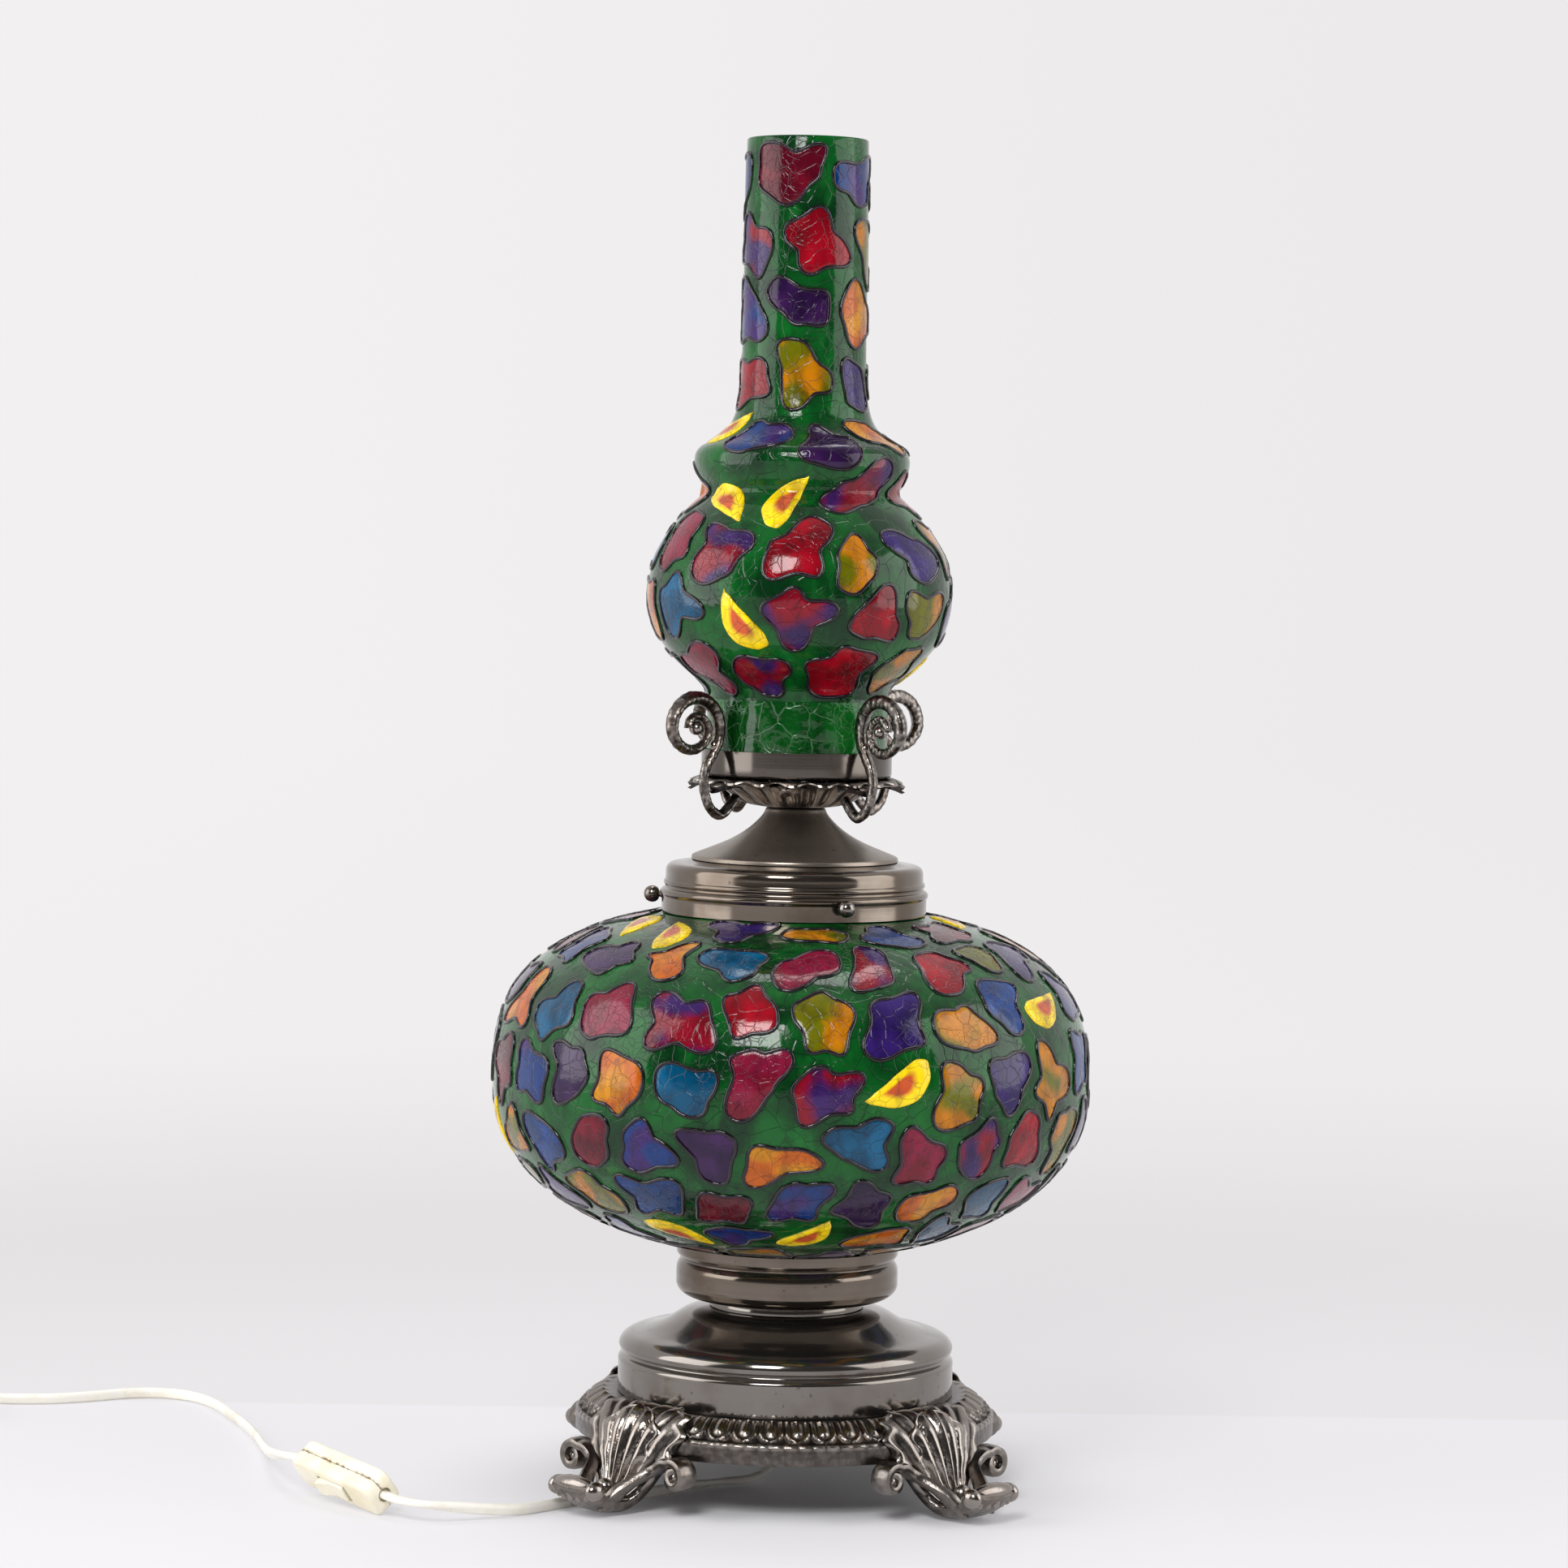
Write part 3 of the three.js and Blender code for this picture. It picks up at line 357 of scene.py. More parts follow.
to_switch = metres([
    (0, 0, 24.7), (-0.7, -0.3, 18.9), (-2.7, -1.4, 13.6), (-5.8, -3, 8.9), (-9.8, -5.3, 5.4), (-14.5, -8, 3.2),
    (-19.4, -10.9, 2.4), (-31, -16.6, 2.4), (-43, -27, 2.4), (-55, -40, 2.4), (-68, -52.5, 2.4), (-82, -62, 2.4),
    (-95, -70, 2.4), (-106, -79, 2.4), (-117, -90, 2.8), (-130, -102, 3.8), (-145, -112, 6), (-158.4, -118.6, 8.1),
    (-168.3, -119.4, 8.9), (-177.8, -116.5, 9.6),
]) + [on_switch(39), on_switch(30.3)]
to_coil = [on_switch(-30.3), on_switch(-39)] + metres([
    (-241.6, -41.4, 16), (-249, -18, 11.8), (-256.5, 14, 6.8), (-263, 46, 3.4), (-270, 76, 2.4), (-279, 106, 2.4),
    (-290, 136, 2.4), (-300, 161, 2.4), (-310, 179, 2.4), (-322, 190.5, 2.4), (-337, 195.6, 2.4), (-353, 192, 2.4),
    (-369, 182, 2.4), (-387, 173.4, 2.4), (-405, 170.2, 2.4), (-417.7, 170, 2.4), (-423.7, 170, 2.4),
])


def held(value):
    """A value kept between 0 and 1"""
    return min(max(value, 0), 1)


def eased(value, start, end):
    """0 before start and 1 after end, with a smooth passage"""
    share = held((value - start) / (end - start))
    return share * share * (3 - 2 * share)


TWIST = 0.8  # how far the cord turns on its edge where it lies free


def on_edge(place, edge):
    """A place of the cord with how far it is turned on its edge there, lifted so that it lies on the table"""
    turn = edge * math.pi / 2
    half_height = math.hypot(CORD[0] / 2 * math.sin(turn), CORD[1] / 2 * math.cos(turn)) * 1000
    return Vector((place.x, place.y, max(place.z, half_height + 0.1))) / 1000, edge


def twisted(route, starts, ends):
    """A route whose cord turns on its edge between two shares of its length, and back between two more"""
    places = []
    for k, point in enumerate(route):
        share = k / (len(route) - 1)
        places.append(on_edge(point * 1000, TWIST * eased(share, *starts) * (1 - eased(share, *ends))))
    return places


def coil_places():
    """The coil's two layers, in along the lower one and out along the upper one, then down to the plug"""
    centre, inner, pitch = Vector((-462, 130.3, 0)), 29.3, 5.2
    flat, bottom, layer = 2.4, 4.6, 7.2
    turns_in, rising, turns_out = 2, 0.5, 1.75
    places = []
    for i in range(1, 10):
        run = 38 * i / 10
        rise = eased(run, 6, 34)
        places.append((Vector((-424 - run, 170, flat + (bottom - flat) * rise)), max(rise, TWIST)))
    turns = turns_in + rising + turns_out
    steps = round(turns * 48)
    for i in range(steps + 1):
        turn = turns * i / steps
        radius = inner + pitch * max(turns_in - turn, turn - turns_in - rising, 0)
        angle = math.pi * (0.5 + 2 * turn)
        height = bottom + layer * held((turn - turns_in) / rising)
        places.append((centre + Vector((radius * math.cos(angle), radius * math.sin(angle), height)), 1.0))
    top, plug_lies = places[-1][0], 7.2
    for i in range(1, 12):
        run = 46 * i / 11
        edge = 1 - eased(run, 4, 40)
        places.append((top + Vector((0, -run, -(top.z - plug_lies) * (1 - edge))), edge))
    return [on_edge(place, edge) for place, edge in places]


first_places = twisted(flowing(to_switch, 6), (0.3, 0.45), (0.74, 0.92))
second_route = twisted(flowing(to_coil, 6), (0.08, 0.22), (1.1, 1.2)) + coil_places()
first_route = [p for p, edge in first_places]
lead = flat_cord("flex_base_to_switch", first_places)
tail = flat_cord("flex_switch_to_plug", second_route)

vinyl = Finish("white_vinyl", Roughness=0.42, Coat_Weight=0.15, Coat_Roughness=0.3)
grime = vinyl.ramp(vinyl.cloud(60, 5), 0.5, 0.75)
specks = vinyl.ramp(vinyl.cloud(900, 2), 0.68, 0.74)
skin = vinyl.blend(grime, tone(240, 236, 226), tone(226, 217, 198))
vinyl.set(Base_Color=vinyl.blend(specks * 0.5, skin, tone(170, 152, 122)))
vinyl.bump(vinyl.cloud(400, 3), 0.0002, 0.3)
worn_by(lead, vinyl, "lamp", "white_vinyl", "cord_to_switch")
worn_by(tail, vinyl, "lamp", "white_vinyl", "cord_to_coil", "cord_coil")


# Cream rocker switch in the cord: two moulded halves held by one screw from behind, with a rocker in
# the front half that tips about a pin. It lies on the lower edge of its front half.
def primitive(name, add, **settings):
    """One of Blender's own primitives, added alone"""
    bpy.ops.object.select_all(action="DESELECT")
    add(**settings)
    made = bpy.context.object
    made.name = name
    return made


def block(name, low, high):
    """A box between two corners, in millimetres of its own frame"""
    made = in_edit(primitive(name, bpy.ops.mesh.primitive_cube_add, size=1))
    bpy.ops.transform.resize(value=[(b - a) / 1000 for a, b in zip(low, high)])
    bpy.ops.transform.translate(value=[(a + b) / 2000 for a, b in zip(low, high)])
    bpy.ops.object.mode_set(mode="OBJECT")
    return made


def modified(piece, kind, **settings):
    """Adds one modifier with its settings and applies it"""
    picked(piece)
    added = piece.modifiers.new(kind.lower(), kind)
    for name, value in settings.items():
        setattr(added, name, value)
    bpy.ops.object.modifier_apply(modifier=added.name)
    return piece


def bevelled(piece, width, segments, degrees):
    """Rounds the edges that are sharper than an angle"""
    settings = {"width": width, "segments": segments, "angle_limit": math.radians(degrees)}
    return modified(piece, "BEVEL", limit_method="ANGLE", **settings)


def drilled(piece, *tools):
    """Cuts each tool out of the piece"""
    for tool in tools:
        modified(piece, "BOOLEAN", operation="DIFFERENCE", object=tool, solver="EXACT")
        bpy.data.objects.remove(tool)
    return piece


def round_bar(name, radius, start, end, segments=24):
    """A round bar between two points, in millimetres of its own frame"""
    start, end = metres((start, end))
    size = {"vertices": segments, "radius": radius / 1000, "depth": (end - start).length}
    made = primitive(name, bpy.ops.mesh.primitive_cylinder_add, **size)
    turn = (end - start).to_track_quat("Z", "Y").to_matrix().to_4x4()
    made.data.transform(Matrix.Translation((start + end) / 2) @ turn)
    return made


def to_lamp(piece):
    """Puts a piece that was made in the switch's own frame where the switch lies"""
    piece.data.transform(Matrix.Translation(switch_place) @ switch_axes.to_4x4())


def switch_half(name, side):
    """Half of the switch's body: a block with round corners, cut at the seam and drilled for the cord"""
    half = in_edit(block(name, (-33, -7.5, -9.5), (33, 7.5, 9.5)))
    bpy.ops.mesh.select_mode(type="EDGE")
    bpy.ops.mesh.select_all(action="DESELECT")
    bpy.ops.object.mode_set(mode="OBJECT")
    for edge in half.data.edges:
        a, b = [half.data.vertices[i].co for i in edge.vertices]
        edge.select = abs(a.x - b.x) < 1e-6 and abs(a.z - b.z) < 1e-6
    bpy.ops.object.mode_set(mode="EDIT")
    bpy.ops.mesh.bevel(offset=0.006, segments=6, affect="EDGES")
    bpy.ops.mesh.select_mode(type="VERT")
    bpy.ops.object.mode_set(mode="OBJECT")
    in_edit(bevelled(half, 0.0022, 4, 60))
    cut = {"plane_co": (0, side * 0.00015, 0), "plane_no": (0, -side, 0), "clear_outer": True}
    bpy.ops.mesh.bisect(use_fill=True, **cut)
    bpy.ops.object.mode_set(mode="OBJECT")
    holes = [round_bar("hole", 3.6, (end * 30, 0, 0), (end * 36, 0, 0)) for end in (-1, 1)]
    return drilled(bevelled(half, 0.0003, 2, 70), *holes)


front_half = switch_half("switch_front", -1)
drilled(front_half, block("well", (-11.5, -15.2, -4.9), (11.5, -1.2, 4.9)))
back_half = switch_half("switch_back", 1)
drilled(back_half, round_bar("screw_hole", 3, (0, 3.5, 0), (0, 11.5, 0)))
for half in (front_half, back_half):
    to_lamp(smoothed(half, 35))

rocker_side = [
    (-10, -10.3), (-5, -9.2), (0, -8.5), (5, -9.2), (10, -10.3), (9.4, -4.6), (6, -2.6), (-6, -2.6), (-9.4, -4.6),
]
rocker = skinned("switch_rocker_cap", [metres([(x, y, z) for x, y in rocker_side]) for z in (-4.5, 4.5)])
pin_place, tipped = Matrix.Translation((0, -0.0046, 0)), Matrix.Rotation(math.radians(7), 4, "Z")
rocker.data.transform(pin_place @ tipped @ pin_place.inverted())
to_lamp(smoothed(bevelled(rocker, 0.0006, 3, 50), 35))

cream = Finish("cream_plastic", Roughness=0.38, Coat_Weight=0.2, Coat_Roughness=0.25)
from_middle = cream.node("ShaderNodeVectorMath", {"operation": "SUBTRACT"}, {0: cream.place, 1: switch_place})
backwards = {0: from_middle, 1: tuple(switch_axes @ Vector((0, 1, 0)))}
depth = cream.node("ShaderNodeVectorMath", {"operation": "DOT_PRODUCT"}, backwards, 1)
seam = 1 - cream.ramp(depth.math("ABSOLUTE", depth), 0.0001, 0.0016)
dirt = seam * cream.ramp(cream.cloud(260, 4), 0.42, 0.62)
yellowed = cream.blend(cream.ramp(cream.cloud(70, 4), 0.4, 0.7), tone(240, 234, 214), tone(229, 219, 188))
cream.set(Base_Color=cream.blend(dirt, yellowed, tone(128, 98, 58)))
cream.bump(cream.cloud(1500, 2), 0.0001, 0.25)
worn_by(front_half, cream, "lamp", "cream_plastic", "switch_front_shell")
worn_by(back_half, cream, "lamp", "cream_plastic", "switch_back_shell")
worn_by(rocker, cream, "rocker", "cream_plastic", "switch_rocker")


# Flat two-pin plug of white plastic, moulded on the end of the cord. It has five finger grooves on each
# edge, and two round brass pins that are pressed into seats in its face.
white = Finish("plug_plastic", Roughness=0.4, Coat_Weight=0.15)
yellowed = white.ramp(white.cloud(80, 4), 0.4, 0.7)
white.set(Base_Color=white.blend(yellowed, tone(240, 236, 224), tone(226, 218, 198)))
white.bump(white.cloud(1300, 2), 0.0001, 0.3)
plug_end = coil_places()[-1][0] - Vector((0, 0.0003, 0))
plug_right = [(5, -0.3), (7, -12), (15, -18), (17.2, -22), (17.2, -35.8)]
plug_outline = [(-5, -0.3), *plug_right, *[(-x, y) for x, y in plug_right[:0:-1]]]
plug = skinned("flat_plug", [metres([(x, y, z) for x, y in plug_outline]) for z in (-6.8, 6.8)])
bevelled(plug, 0.0022, 4, 25)
for rib in range(5):
    y = -24 - 2.4 * rib
    for side in (-1, 1):
        drilled(plug, round_bar("grip", 0.7, (side * 17.3, y, -9), (side * 17.3, y, 9), 12))
PIN_OUT = 9.3
drilled(plug, *[round_bar("seat", 2.3, (x, -31, 0), (x, -39, 0)) for x in (-PIN_OUT, PIN_OUT)])
smoothed(plug, 35).data.transform(Matrix.Translation(plug_end))
worn_by(plug, white, "lamp", "white_vinyl", "plug_body")

brass = Finish("brass", Metallic=1.0)
tarnish = brass.ramp(brass.cloud(150, 5), 0.4, 0.7)
brass.set(Base_Color=brass.blend(tarnish, tone(214, 176, 96), tone(150, 112, 58)))
brass.set(Roughness=brass.ramp(brass.cloud(600, 3), 0.0, 1.0) * 0.3 + 0.18)
for place, x in (("left", -PIN_OUT), ("right", PIN_OUT)):
    pin = bevelled(round_bar("plug_pin_" + place + "_round", 2, (x, -31.3, 0), (x, -55, 0)), 0.0009, 3, 50)
    smoothed(pin, 35).data.transform(Matrix.Translation(plug_end))
    worn_by(pin, brass, "lamp", "brass", "plug_pin_" + place)


def runs_of(line):
    """How far along a line each of its points is"""
    runs = [0.0]
    for a, b in zip(line, line[1:]):
        runs.append(runs[-1] + (b - a).length)
    return runs


def length_of(route):
    return runs_of(route)[-1]


length_of(first_route)
tail_path = [p for p, edge in second_route]
length_of(tail_path)


# Cast base: one heavy zinc casting, dark nickel plated, with a ring of 48 tongues round a flat plate.
# It stands on four feet, each an acanthus leaf between two scrolled hems, and is hollow from below.
def spun(name, line, segments, wall=0.0, closed=False):
    """A skin turned from an outline of (radius, height) in millimetres: a circle drawn out ring by ring.
    It is left open, or given a wall inwards, or closed back to its first ring."""
    radius, height = line[0]
    size = {"vertices": segments, "radius": radius / 1000}
    made = in_edit(primitive(name, bpy.ops.mesh.primitive_circle_add, **size, location=(0, 0, 0)))
    bpy.ops.transform.translate(value=(0, 0, height / 1000))
    for (r0, z0), (r1, z1) in zip(line, line[1:]):
        bpy.ops.mesh.extrude_edges_move(TRANSFORM_OT_translate={"value": (0, 0, (z1 - z0) / 1000)})
        bpy.ops.transform.resize(value=(r1 / r0, r1 / r0, 1), center_override=(0, 0, z1 / 1000))
    if closed:
        bpy.ops.mesh.select_all(action="DESELECT")
        bpy.ops.mesh.select_non_manifold()
        bpy.ops.mesh.bridge_edge_loops()
    bpy.ops.mesh.select_all(action="SELECT")
    bpy.ops.mesh.normals_make_consistent(inside=False)
    bpy.ops.object.mode_set(mode="OBJECT")
    if wall:
        modified(made, "SOLIDIFY", thickness=wall / 1000, offset=-1, use_even_offset=True)
    return smoothed(made, 40)


def relief_of(piece, values):
    """Keeps how high the casting stands at each vertex, 0 in the hollows and 1 on the ridges; the cast finish paints
    shade in the hollows and a highlight on the ridges by it
    """
    if isinstance(values, float):
        values = [values] * len(piece.data.vertices)
    kept = piece.data.attributes.new("relief", "FLOAT", "POINT")
    kept.data.foreach_set("value", values)


def hump(value, middle, width):
    """1 at the middle and fading to both sides"""
    return math.exp(-(((value - middle) / width) ** 2))


TONGUES = 48
ring_line = [(70, 45.6), (84, 45.6), (87, 45.9)]
ring_line += [(88.5 + 13.6 * t / 26, 45.9 - 8.4 * (t / 26) ** 1.5) for t in range(27)]
ring_line += [
    (102.9, 36.6), (103.4, 35.6), (103.2, 34.8), (103.5, 34), (103.5, 31), (103.5, 27.6), (103.1, 27), (100.6, 27),
    (97.6, 34.4), (72, 41.9), (70, 42),
]
tongue_ring = spun("tongue_ring", ring_line, TONGUES * 12, closed=True)
relief = []
for vertex in tongue_ring.data.vertices:
    x, y, z = vertex.co
    radius = math.hypot(x, y) * 1000
    down = (radius - 88) / 13.4  # 0 at a tongue's root and 1 at its tip
    lift = 0.0
    if z * 1000 > 36.2 and 0 < down < 1.04:
        turn = math.atan2(y, x) * TONGUES / (2 * math.pi)
        share = abs((turn % 1) - 0.5) * 2
        half, straight = 0.86, 0.62
        if down >= straight:
            half *= math.sqrt(max(1 - ((down - straight) / (1 - straight)) ** 2, 0))
        edge = half - share
        lift = 0.95 * hump(edge, 0.08, 0.12) + 1.15 * max(1 - (share / 0.4) ** 2, 0) * eased(0.88 - down, 0, 0.2)
        lift -= 0.8 * eased(-edge, 0, 0.12)
        lift *= eased(down, 0, 0.14)
    elif 34.4 < z * 1000 <= 36.7 and radius > 101:
        lift = 0.45 * abs(math.sin(math.atan2(y, x) * TONGUES))
    relief.append(held(0.5 + lift * 0.55) if radius > 86 else 0.45)
    out = Vector((x, y, 0)).normalized() * 0.55 + UP * 0.85
    vertex.co += out.normalized() * lift * 1.15 / 1000
relief_of(tongue_ring, relief)
plate = spun("base_plate", [(5.3, 42), (71, 42), (71, 45.55), (5.3, 45.55)], 96, closed=True)
relief_of(plate, 0.4)


LEG = [  # the foot's leaf from its root to the toe: out from the lamp's axis, up, half its width, thickness
    (86.5, 47.2, 12, 3), (92, 48.6, 20, 4), (98, 46.8, 27.5, 6), (104.5, 40.5, 31, 7), (108.6, 31, 29, 7.5),
    (111, 22, 24, 8), (113, 14, 18.5, 8), (117.5, 7.6, 14.4, 6.6), (125, 6.8, 12.6, 5.6), (132, 9.2, 13.4, 5.8),
    (138.5, 13.2, 15, 5.8), (142.8, 17.4, 15.4, 5),
]


def leaf_row(t):
    """The leaf's four measures at a share of its length, on a smooth curve through those in LEG"""
    last = len(LEG) - 1
    i = min(int(t * last), last - 1)
    a, b, c, d = [Vector(LEG[min(max(k, 0), last)]) for k in range(i - 1, i + 3)]
    s = t * last - i
    return 0.5 * (2 * b + (c - a) * s + (2 * a - 5 * b + 4 * c - d) * s * s + (3 * b - a - 3 * c + d) * s ** 3)


def foot_leaf(name, start=0.0, end=1.0, share=1.0, raised=0.0, ribs=14.5):
    """A leaf along +X: ribs fan out from the ankle upwards and, shorter, to the toe"""
    rows, heights = [], []
    steps, wide, fan_ends = round(92 * (end - start)), 72, 0.66
    for r in range(steps + 1):
        t = start + (end - start) * r / steps
        out, up, half, thick = leaf_row(t)
        if start:
            half *= share * math.sqrt(min(0.05 + (t - start) / 0.12, 1))
        before, after = leaf_row(max(t - 0.01, 0)), leaf_row(min(t + 0.01, 1))
        run = Vector((after[0] - before[0], 0, after[1] - before[1])).normalized()
        away = Vector((-run.z, 0, run.x))
        scallop = 1 + 0.07 * math.cos(2 * math.pi * (t * 9 + 0.3)) * (1 if t < 0.5 else 0.4)
        row, height_row = [], []
        for k in range(wide + 1):
            u = -1 + 2 * k / wide
            side = u * half * scallop
            if t < fan_ends:
                angle = math.atan2(side, (0.7 - t) * 62 + 3)
                rib = abs(math.cos(angle * ribs))
            else:
                rib = abs(math.cos(u * 5.0)) * 0.7 + 0.2
            vein = 0.8 * hump(u, 0, 0.09) * eased(t, 0.05, 0.2)
            rolled = 0.9 * hump(abs(u), 0.93, 0.07)
            lift = 2.2 * (rib ** 0.6 - 0.5) * (1 - abs(u) ** 6) * min(half / 12, 1) + vein + rolled
            lift += raised * (1 - 0.7 * u * u) * eased(end - t, 0, 0.2)
            wrapped = side * side / (2 * out) + abs(u) ** 3 * thick * 0.2
            row.append((Vector((out - wrapped, side, up)) + away * lift) / 1000)
            height_row.append(held(0.45 + lift * 0.3))
        for k in range(wide, -1, -6):  # and back along the underside, in coarser steps
            u = -1 + 2 * k / wide
            side = u * half * 0.94
            wrapped = side * side / (2 * out) + abs(u) ** 3 * thick * 0.2
            row.append((Vector((out - wrapped, side, up)) - away * thick * (1 - 0.5 * u ** 4)) / 1000)
            # The underside gets a low relief value, so the cast finish paints it in shade
            height_row.append(0.1 + 0.5 * eased(t, 0.5, 0.75))
        rows.append(row)
        heights += height_row
    leaf = skinned(name, rows)
    relief_of(leaf, heights)
    return leaf


def hem_strip(name, side):
    """The hem beside the leaf: from the toe up the side of the foot and round into a scroll"""
    rise = [(8.4, 4.6), (9.2, 5.4), (10.6, 8.6), (13, 13.4), (17.2, 18.6), (22.4, 22.8), (27.6, 26.2)]
    centre, turns = Vector((35.4, 20.8)), 1.35
    spiral = []
    for i in range(19):
        turn = i / 18 * turns
        angle = math.radians(128) - 2 * math.pi * turn
        radius = 7.2 * math.exp(-0.85 * turn)
        spiral.append(tuple(centre + Vector((math.cos(angle), math.sin(angle))) * radius))
    line = flowing([Vector((a, b, 0)) for a, b in rise + spiral], 4)
    rows = []
    for i, point in enumerate(line):
        along = bearing(line, i)
        across = Vector((-along.y, along.x, 0))
        out = 127.5 - 24.5 * eased(point.x, 7, 24) + (3.4 if point.x > 24 else 3.4 * point.x / 24)
        share = i / (len(line) - 1)
        deep = 5.6 * (1 - 0.4 * eased(share, 0.6, 1))
        thick = 2.5 * (1 - 0.35 * eased(share, 0.6, 1))
        row = []
        for angle in around(14):
            corner = (abs(math.cos(angle)) ** 4 + abs(math.sin(angle)) ** 4) ** -0.25
            flat = across * (thick * corner * math.cos(angle))
            beyond = out + deep * corner * math.sin(angle)
            row.append((beyond, side * (point.x + flat.x), max(point.y + flat.y, 0.35)))
        rows.append(metres(row))
    strip = skinned(name, rows)
    relief_of(strip, 0.62)
    return strip


def pearl(name, radius, x, y, z, squash, segments=20):
    """A ball, squashed and then put at its place, in millimetres"""
    sphere = {"segments": segments, "ring_count": segments // 2, "radius": radius / 1000}
    made = in_edit(primitive(name, bpy.ops.mesh.primitive_uv_sphere_add, **sphere))
    bpy.ops.transform.resize(value=squash)
    bpy.ops.transform.translate(value=(x / 1000, y / 1000, z / 1000))
    bpy.ops.object.mode_set(mode="OBJECT")
    bpy.ops.object.shade_smooth()
    relief_of(made, 0.85)
    return made


def joined(name, pieces):
    """All the pieces as one, with the first one's mesh"""
    bpy.ops.object.select_all(action="DESELECT")
    for piece in pieces:
        piece.select_set(True)
    bpy.context.view_layer.objects.active = pieces[0]
    bpy.ops.object.join()
    pieces[0].name = pieces[0].data.name = name
    return pieces[0]


def turned(degrees):
    """A turn round the lamp's axis"""
    return Matrix.Rotation(math.radians(degrees), 4, "Z")


def copied(piece, name, degrees):
    """A copy with its own mesh, turned round the lamp's axis"""
    again = placed(name, piece.data.copy())
    again.data.transform(turned(degrees))
    return again


foot_parts = [foot_leaf("foot_leaf"), foot_leaf("upper_leaf", 0.17, 0.74, 0.62, 2.6, 13)]
foot_parts.append(pearl("toe_pearl", 4.8, 121.5, 0, 12, (0.9, 1, 1)))
foot_parts.append(pearl("toe_lip", 4.6, 141, 0, 16, (1, 3.1, 1)))
for side in (-1, 1):
    foot_parts.append(hem_strip("hem", side))
    foot_parts.append(pearl("scroll_pearl", 3.0, 106.6, side * 35.4, 20.6, (1.2, 1, 1)))
    foot_parts.append(pearl("toe_corner", 4.8, 139.4, side * 12.8, 14.2, (1.2, 0.9, 1), 16))
for step in range(-2, 3):
    petal = (143.2 - abs(step) * 0.8, step * 4.7, 12.2 + abs(step) * 0.5)
    foot_parts.append(pearl("toe_petal", 2.9, *petal, (0.75, 0.8, 1.5), 12))
foot = joined("foot", foot_parts)
feet = [copied(foot, f"foot_{i}", 45 + 90 * i) for i in range(4)]
bpy.data.objects.remove(foot)
casting = joined("cast_base_casting", [tongue_ring, plate, *feet])

cast = Finish("cast_nickel", Metallic=1.0)
# Painted shade and highlight: the relief value makes the hollows and the undersides of the leaves darker and the
# ridges lighter; the pits and the warm patches are the metal's own
height = cast.node("ShaderNodeAttribute", {"attribute_name": "relief"}, None, 2)
pits = cast.ramp(cast.cloud(300, 5), 0.35, 0.7)
ridge = cast.ramp(height + pits * 0.12, 0.3, 0.95)
shade = cast.blend(ridge, tone(46, 42, 40), tone(150, 143, 137))
warm = cast.ramp(cast.cloud(45, 3), 0.45, 0.7)
cast.set(Base_Color=cast.blend(warm * 0.35, shade, tone(112, 96, 84)))
cast.set(Roughness=0.36 - ridge * 0.2 + pits * 0.06)
cast.bump(cast.cloud(260, 4) + cast.cloud(1500, 2) * 0.25, 0.0005, 0.4)
worn_by(casting, cast, "lamp", "cast_metal", "cast_base")


# Spun drum, neck ring and lower cup: thin brass sheet spun over formers and plated in black nickel,
# stacked on the casting and clamped by the tube. Each has a groove rolled into its side.
def rounded(line, steps):
    """An outline of (radius, height) with a smooth curve through its points"""
    return [(p.x, p.y) for p in flowing([(r, z, 0) for r, z in line], steps)]


def plating(name, bright, smeared, rough):
    """Black nickel on spun metal: fine turning lines, smears from hands and small dark spots"""
    finish = Finish(name, Metallic=0.95)
    spinning = finish.cloud(1.0, 3, (6, 6, 2600))
    smear = finish.ramp(finish.cloud(34, 5), 0.42, 0.72)
    spots = finish.ramp(finish.cloud(260, 3), 0.66, 0.74)
    finish.set(Base_Color=finish.blend(spots * 0.5, finish.blend(smear, bright, smeared), tone(72, 60, 50)))
    finish.set(Roughness=smear * 0.06 + spinning * 0.07 + spots * 0.15 + rough)
    finish.bump(spinning, 0.00005, 0.25)
    return finish


nickel = plating("black_nickel", tone(128, 123, 118), tone(114, 106, 99), 0.08)
warm_nickel = plating("warm_black_nickel", tone(116, 107, 98), tone(99, 88, 78), 0.09)
dusty_nickel = plating("dusty_black_nickel", tone(138, 128, 118), tone(118, 107, 97), 0.28)
dusty_nickel.set(Metallic=0.88)
dark_nickel = plating("dark_black_nickel", tone(96, 90, 85), tone(82, 75, 69), 0.1)

drum_side = [
    (83, 45.95), (83, 50), (83, 55), (83, 60), (83, 62.2), (82.3, 63.3), (80.9, 64.3), (80.3, 65.2), (80.9, 66.2),
    (82.3, 67.1),
]
drum_top = [
    (82.3, 67.1), (82.7, 69), (82, 71.2), (80.4, 73), (78, 74.4), (74.5, 75.3), (70, 76.2), (65, 77.7), (61, 79.4),
    (57, 81.6), (53, 84.2), (50, 85.8), (47, 86.8), (43, 87.6), (38, 88),
]
drum_line = rounded(drum_side, 3) + rounded(drum_top, 3) + [(30, 88), (18, 88), (5.4, 88)]
cup_side = [
    (41, 92.4), (46, 92.8), (50.4, 94), (53.4, 96.2), (54.8, 99), (54.9, 102), (54.9, 106), (54.6, 108.6),
    (53.6, 110.6), (52.9, 111.8), (53.6, 113), (54.7, 114.6),
]
cup_line = [(5.4, 92.4), (20, 92.4), (34, 92.4), *rounded(cup_side, 4), (54.9, 115.6), (54.9, 117.4), (54.9, 119.2)]
drum = spun("spun_drum", drum_line, 160, 1.2)
neck = spun("spun_neck_ring", [(5.4, 92.1), (37, 92.1), (37.9, 91.9), (38.2, 91.4), (38.2, 88.4)], 112, 1.2)
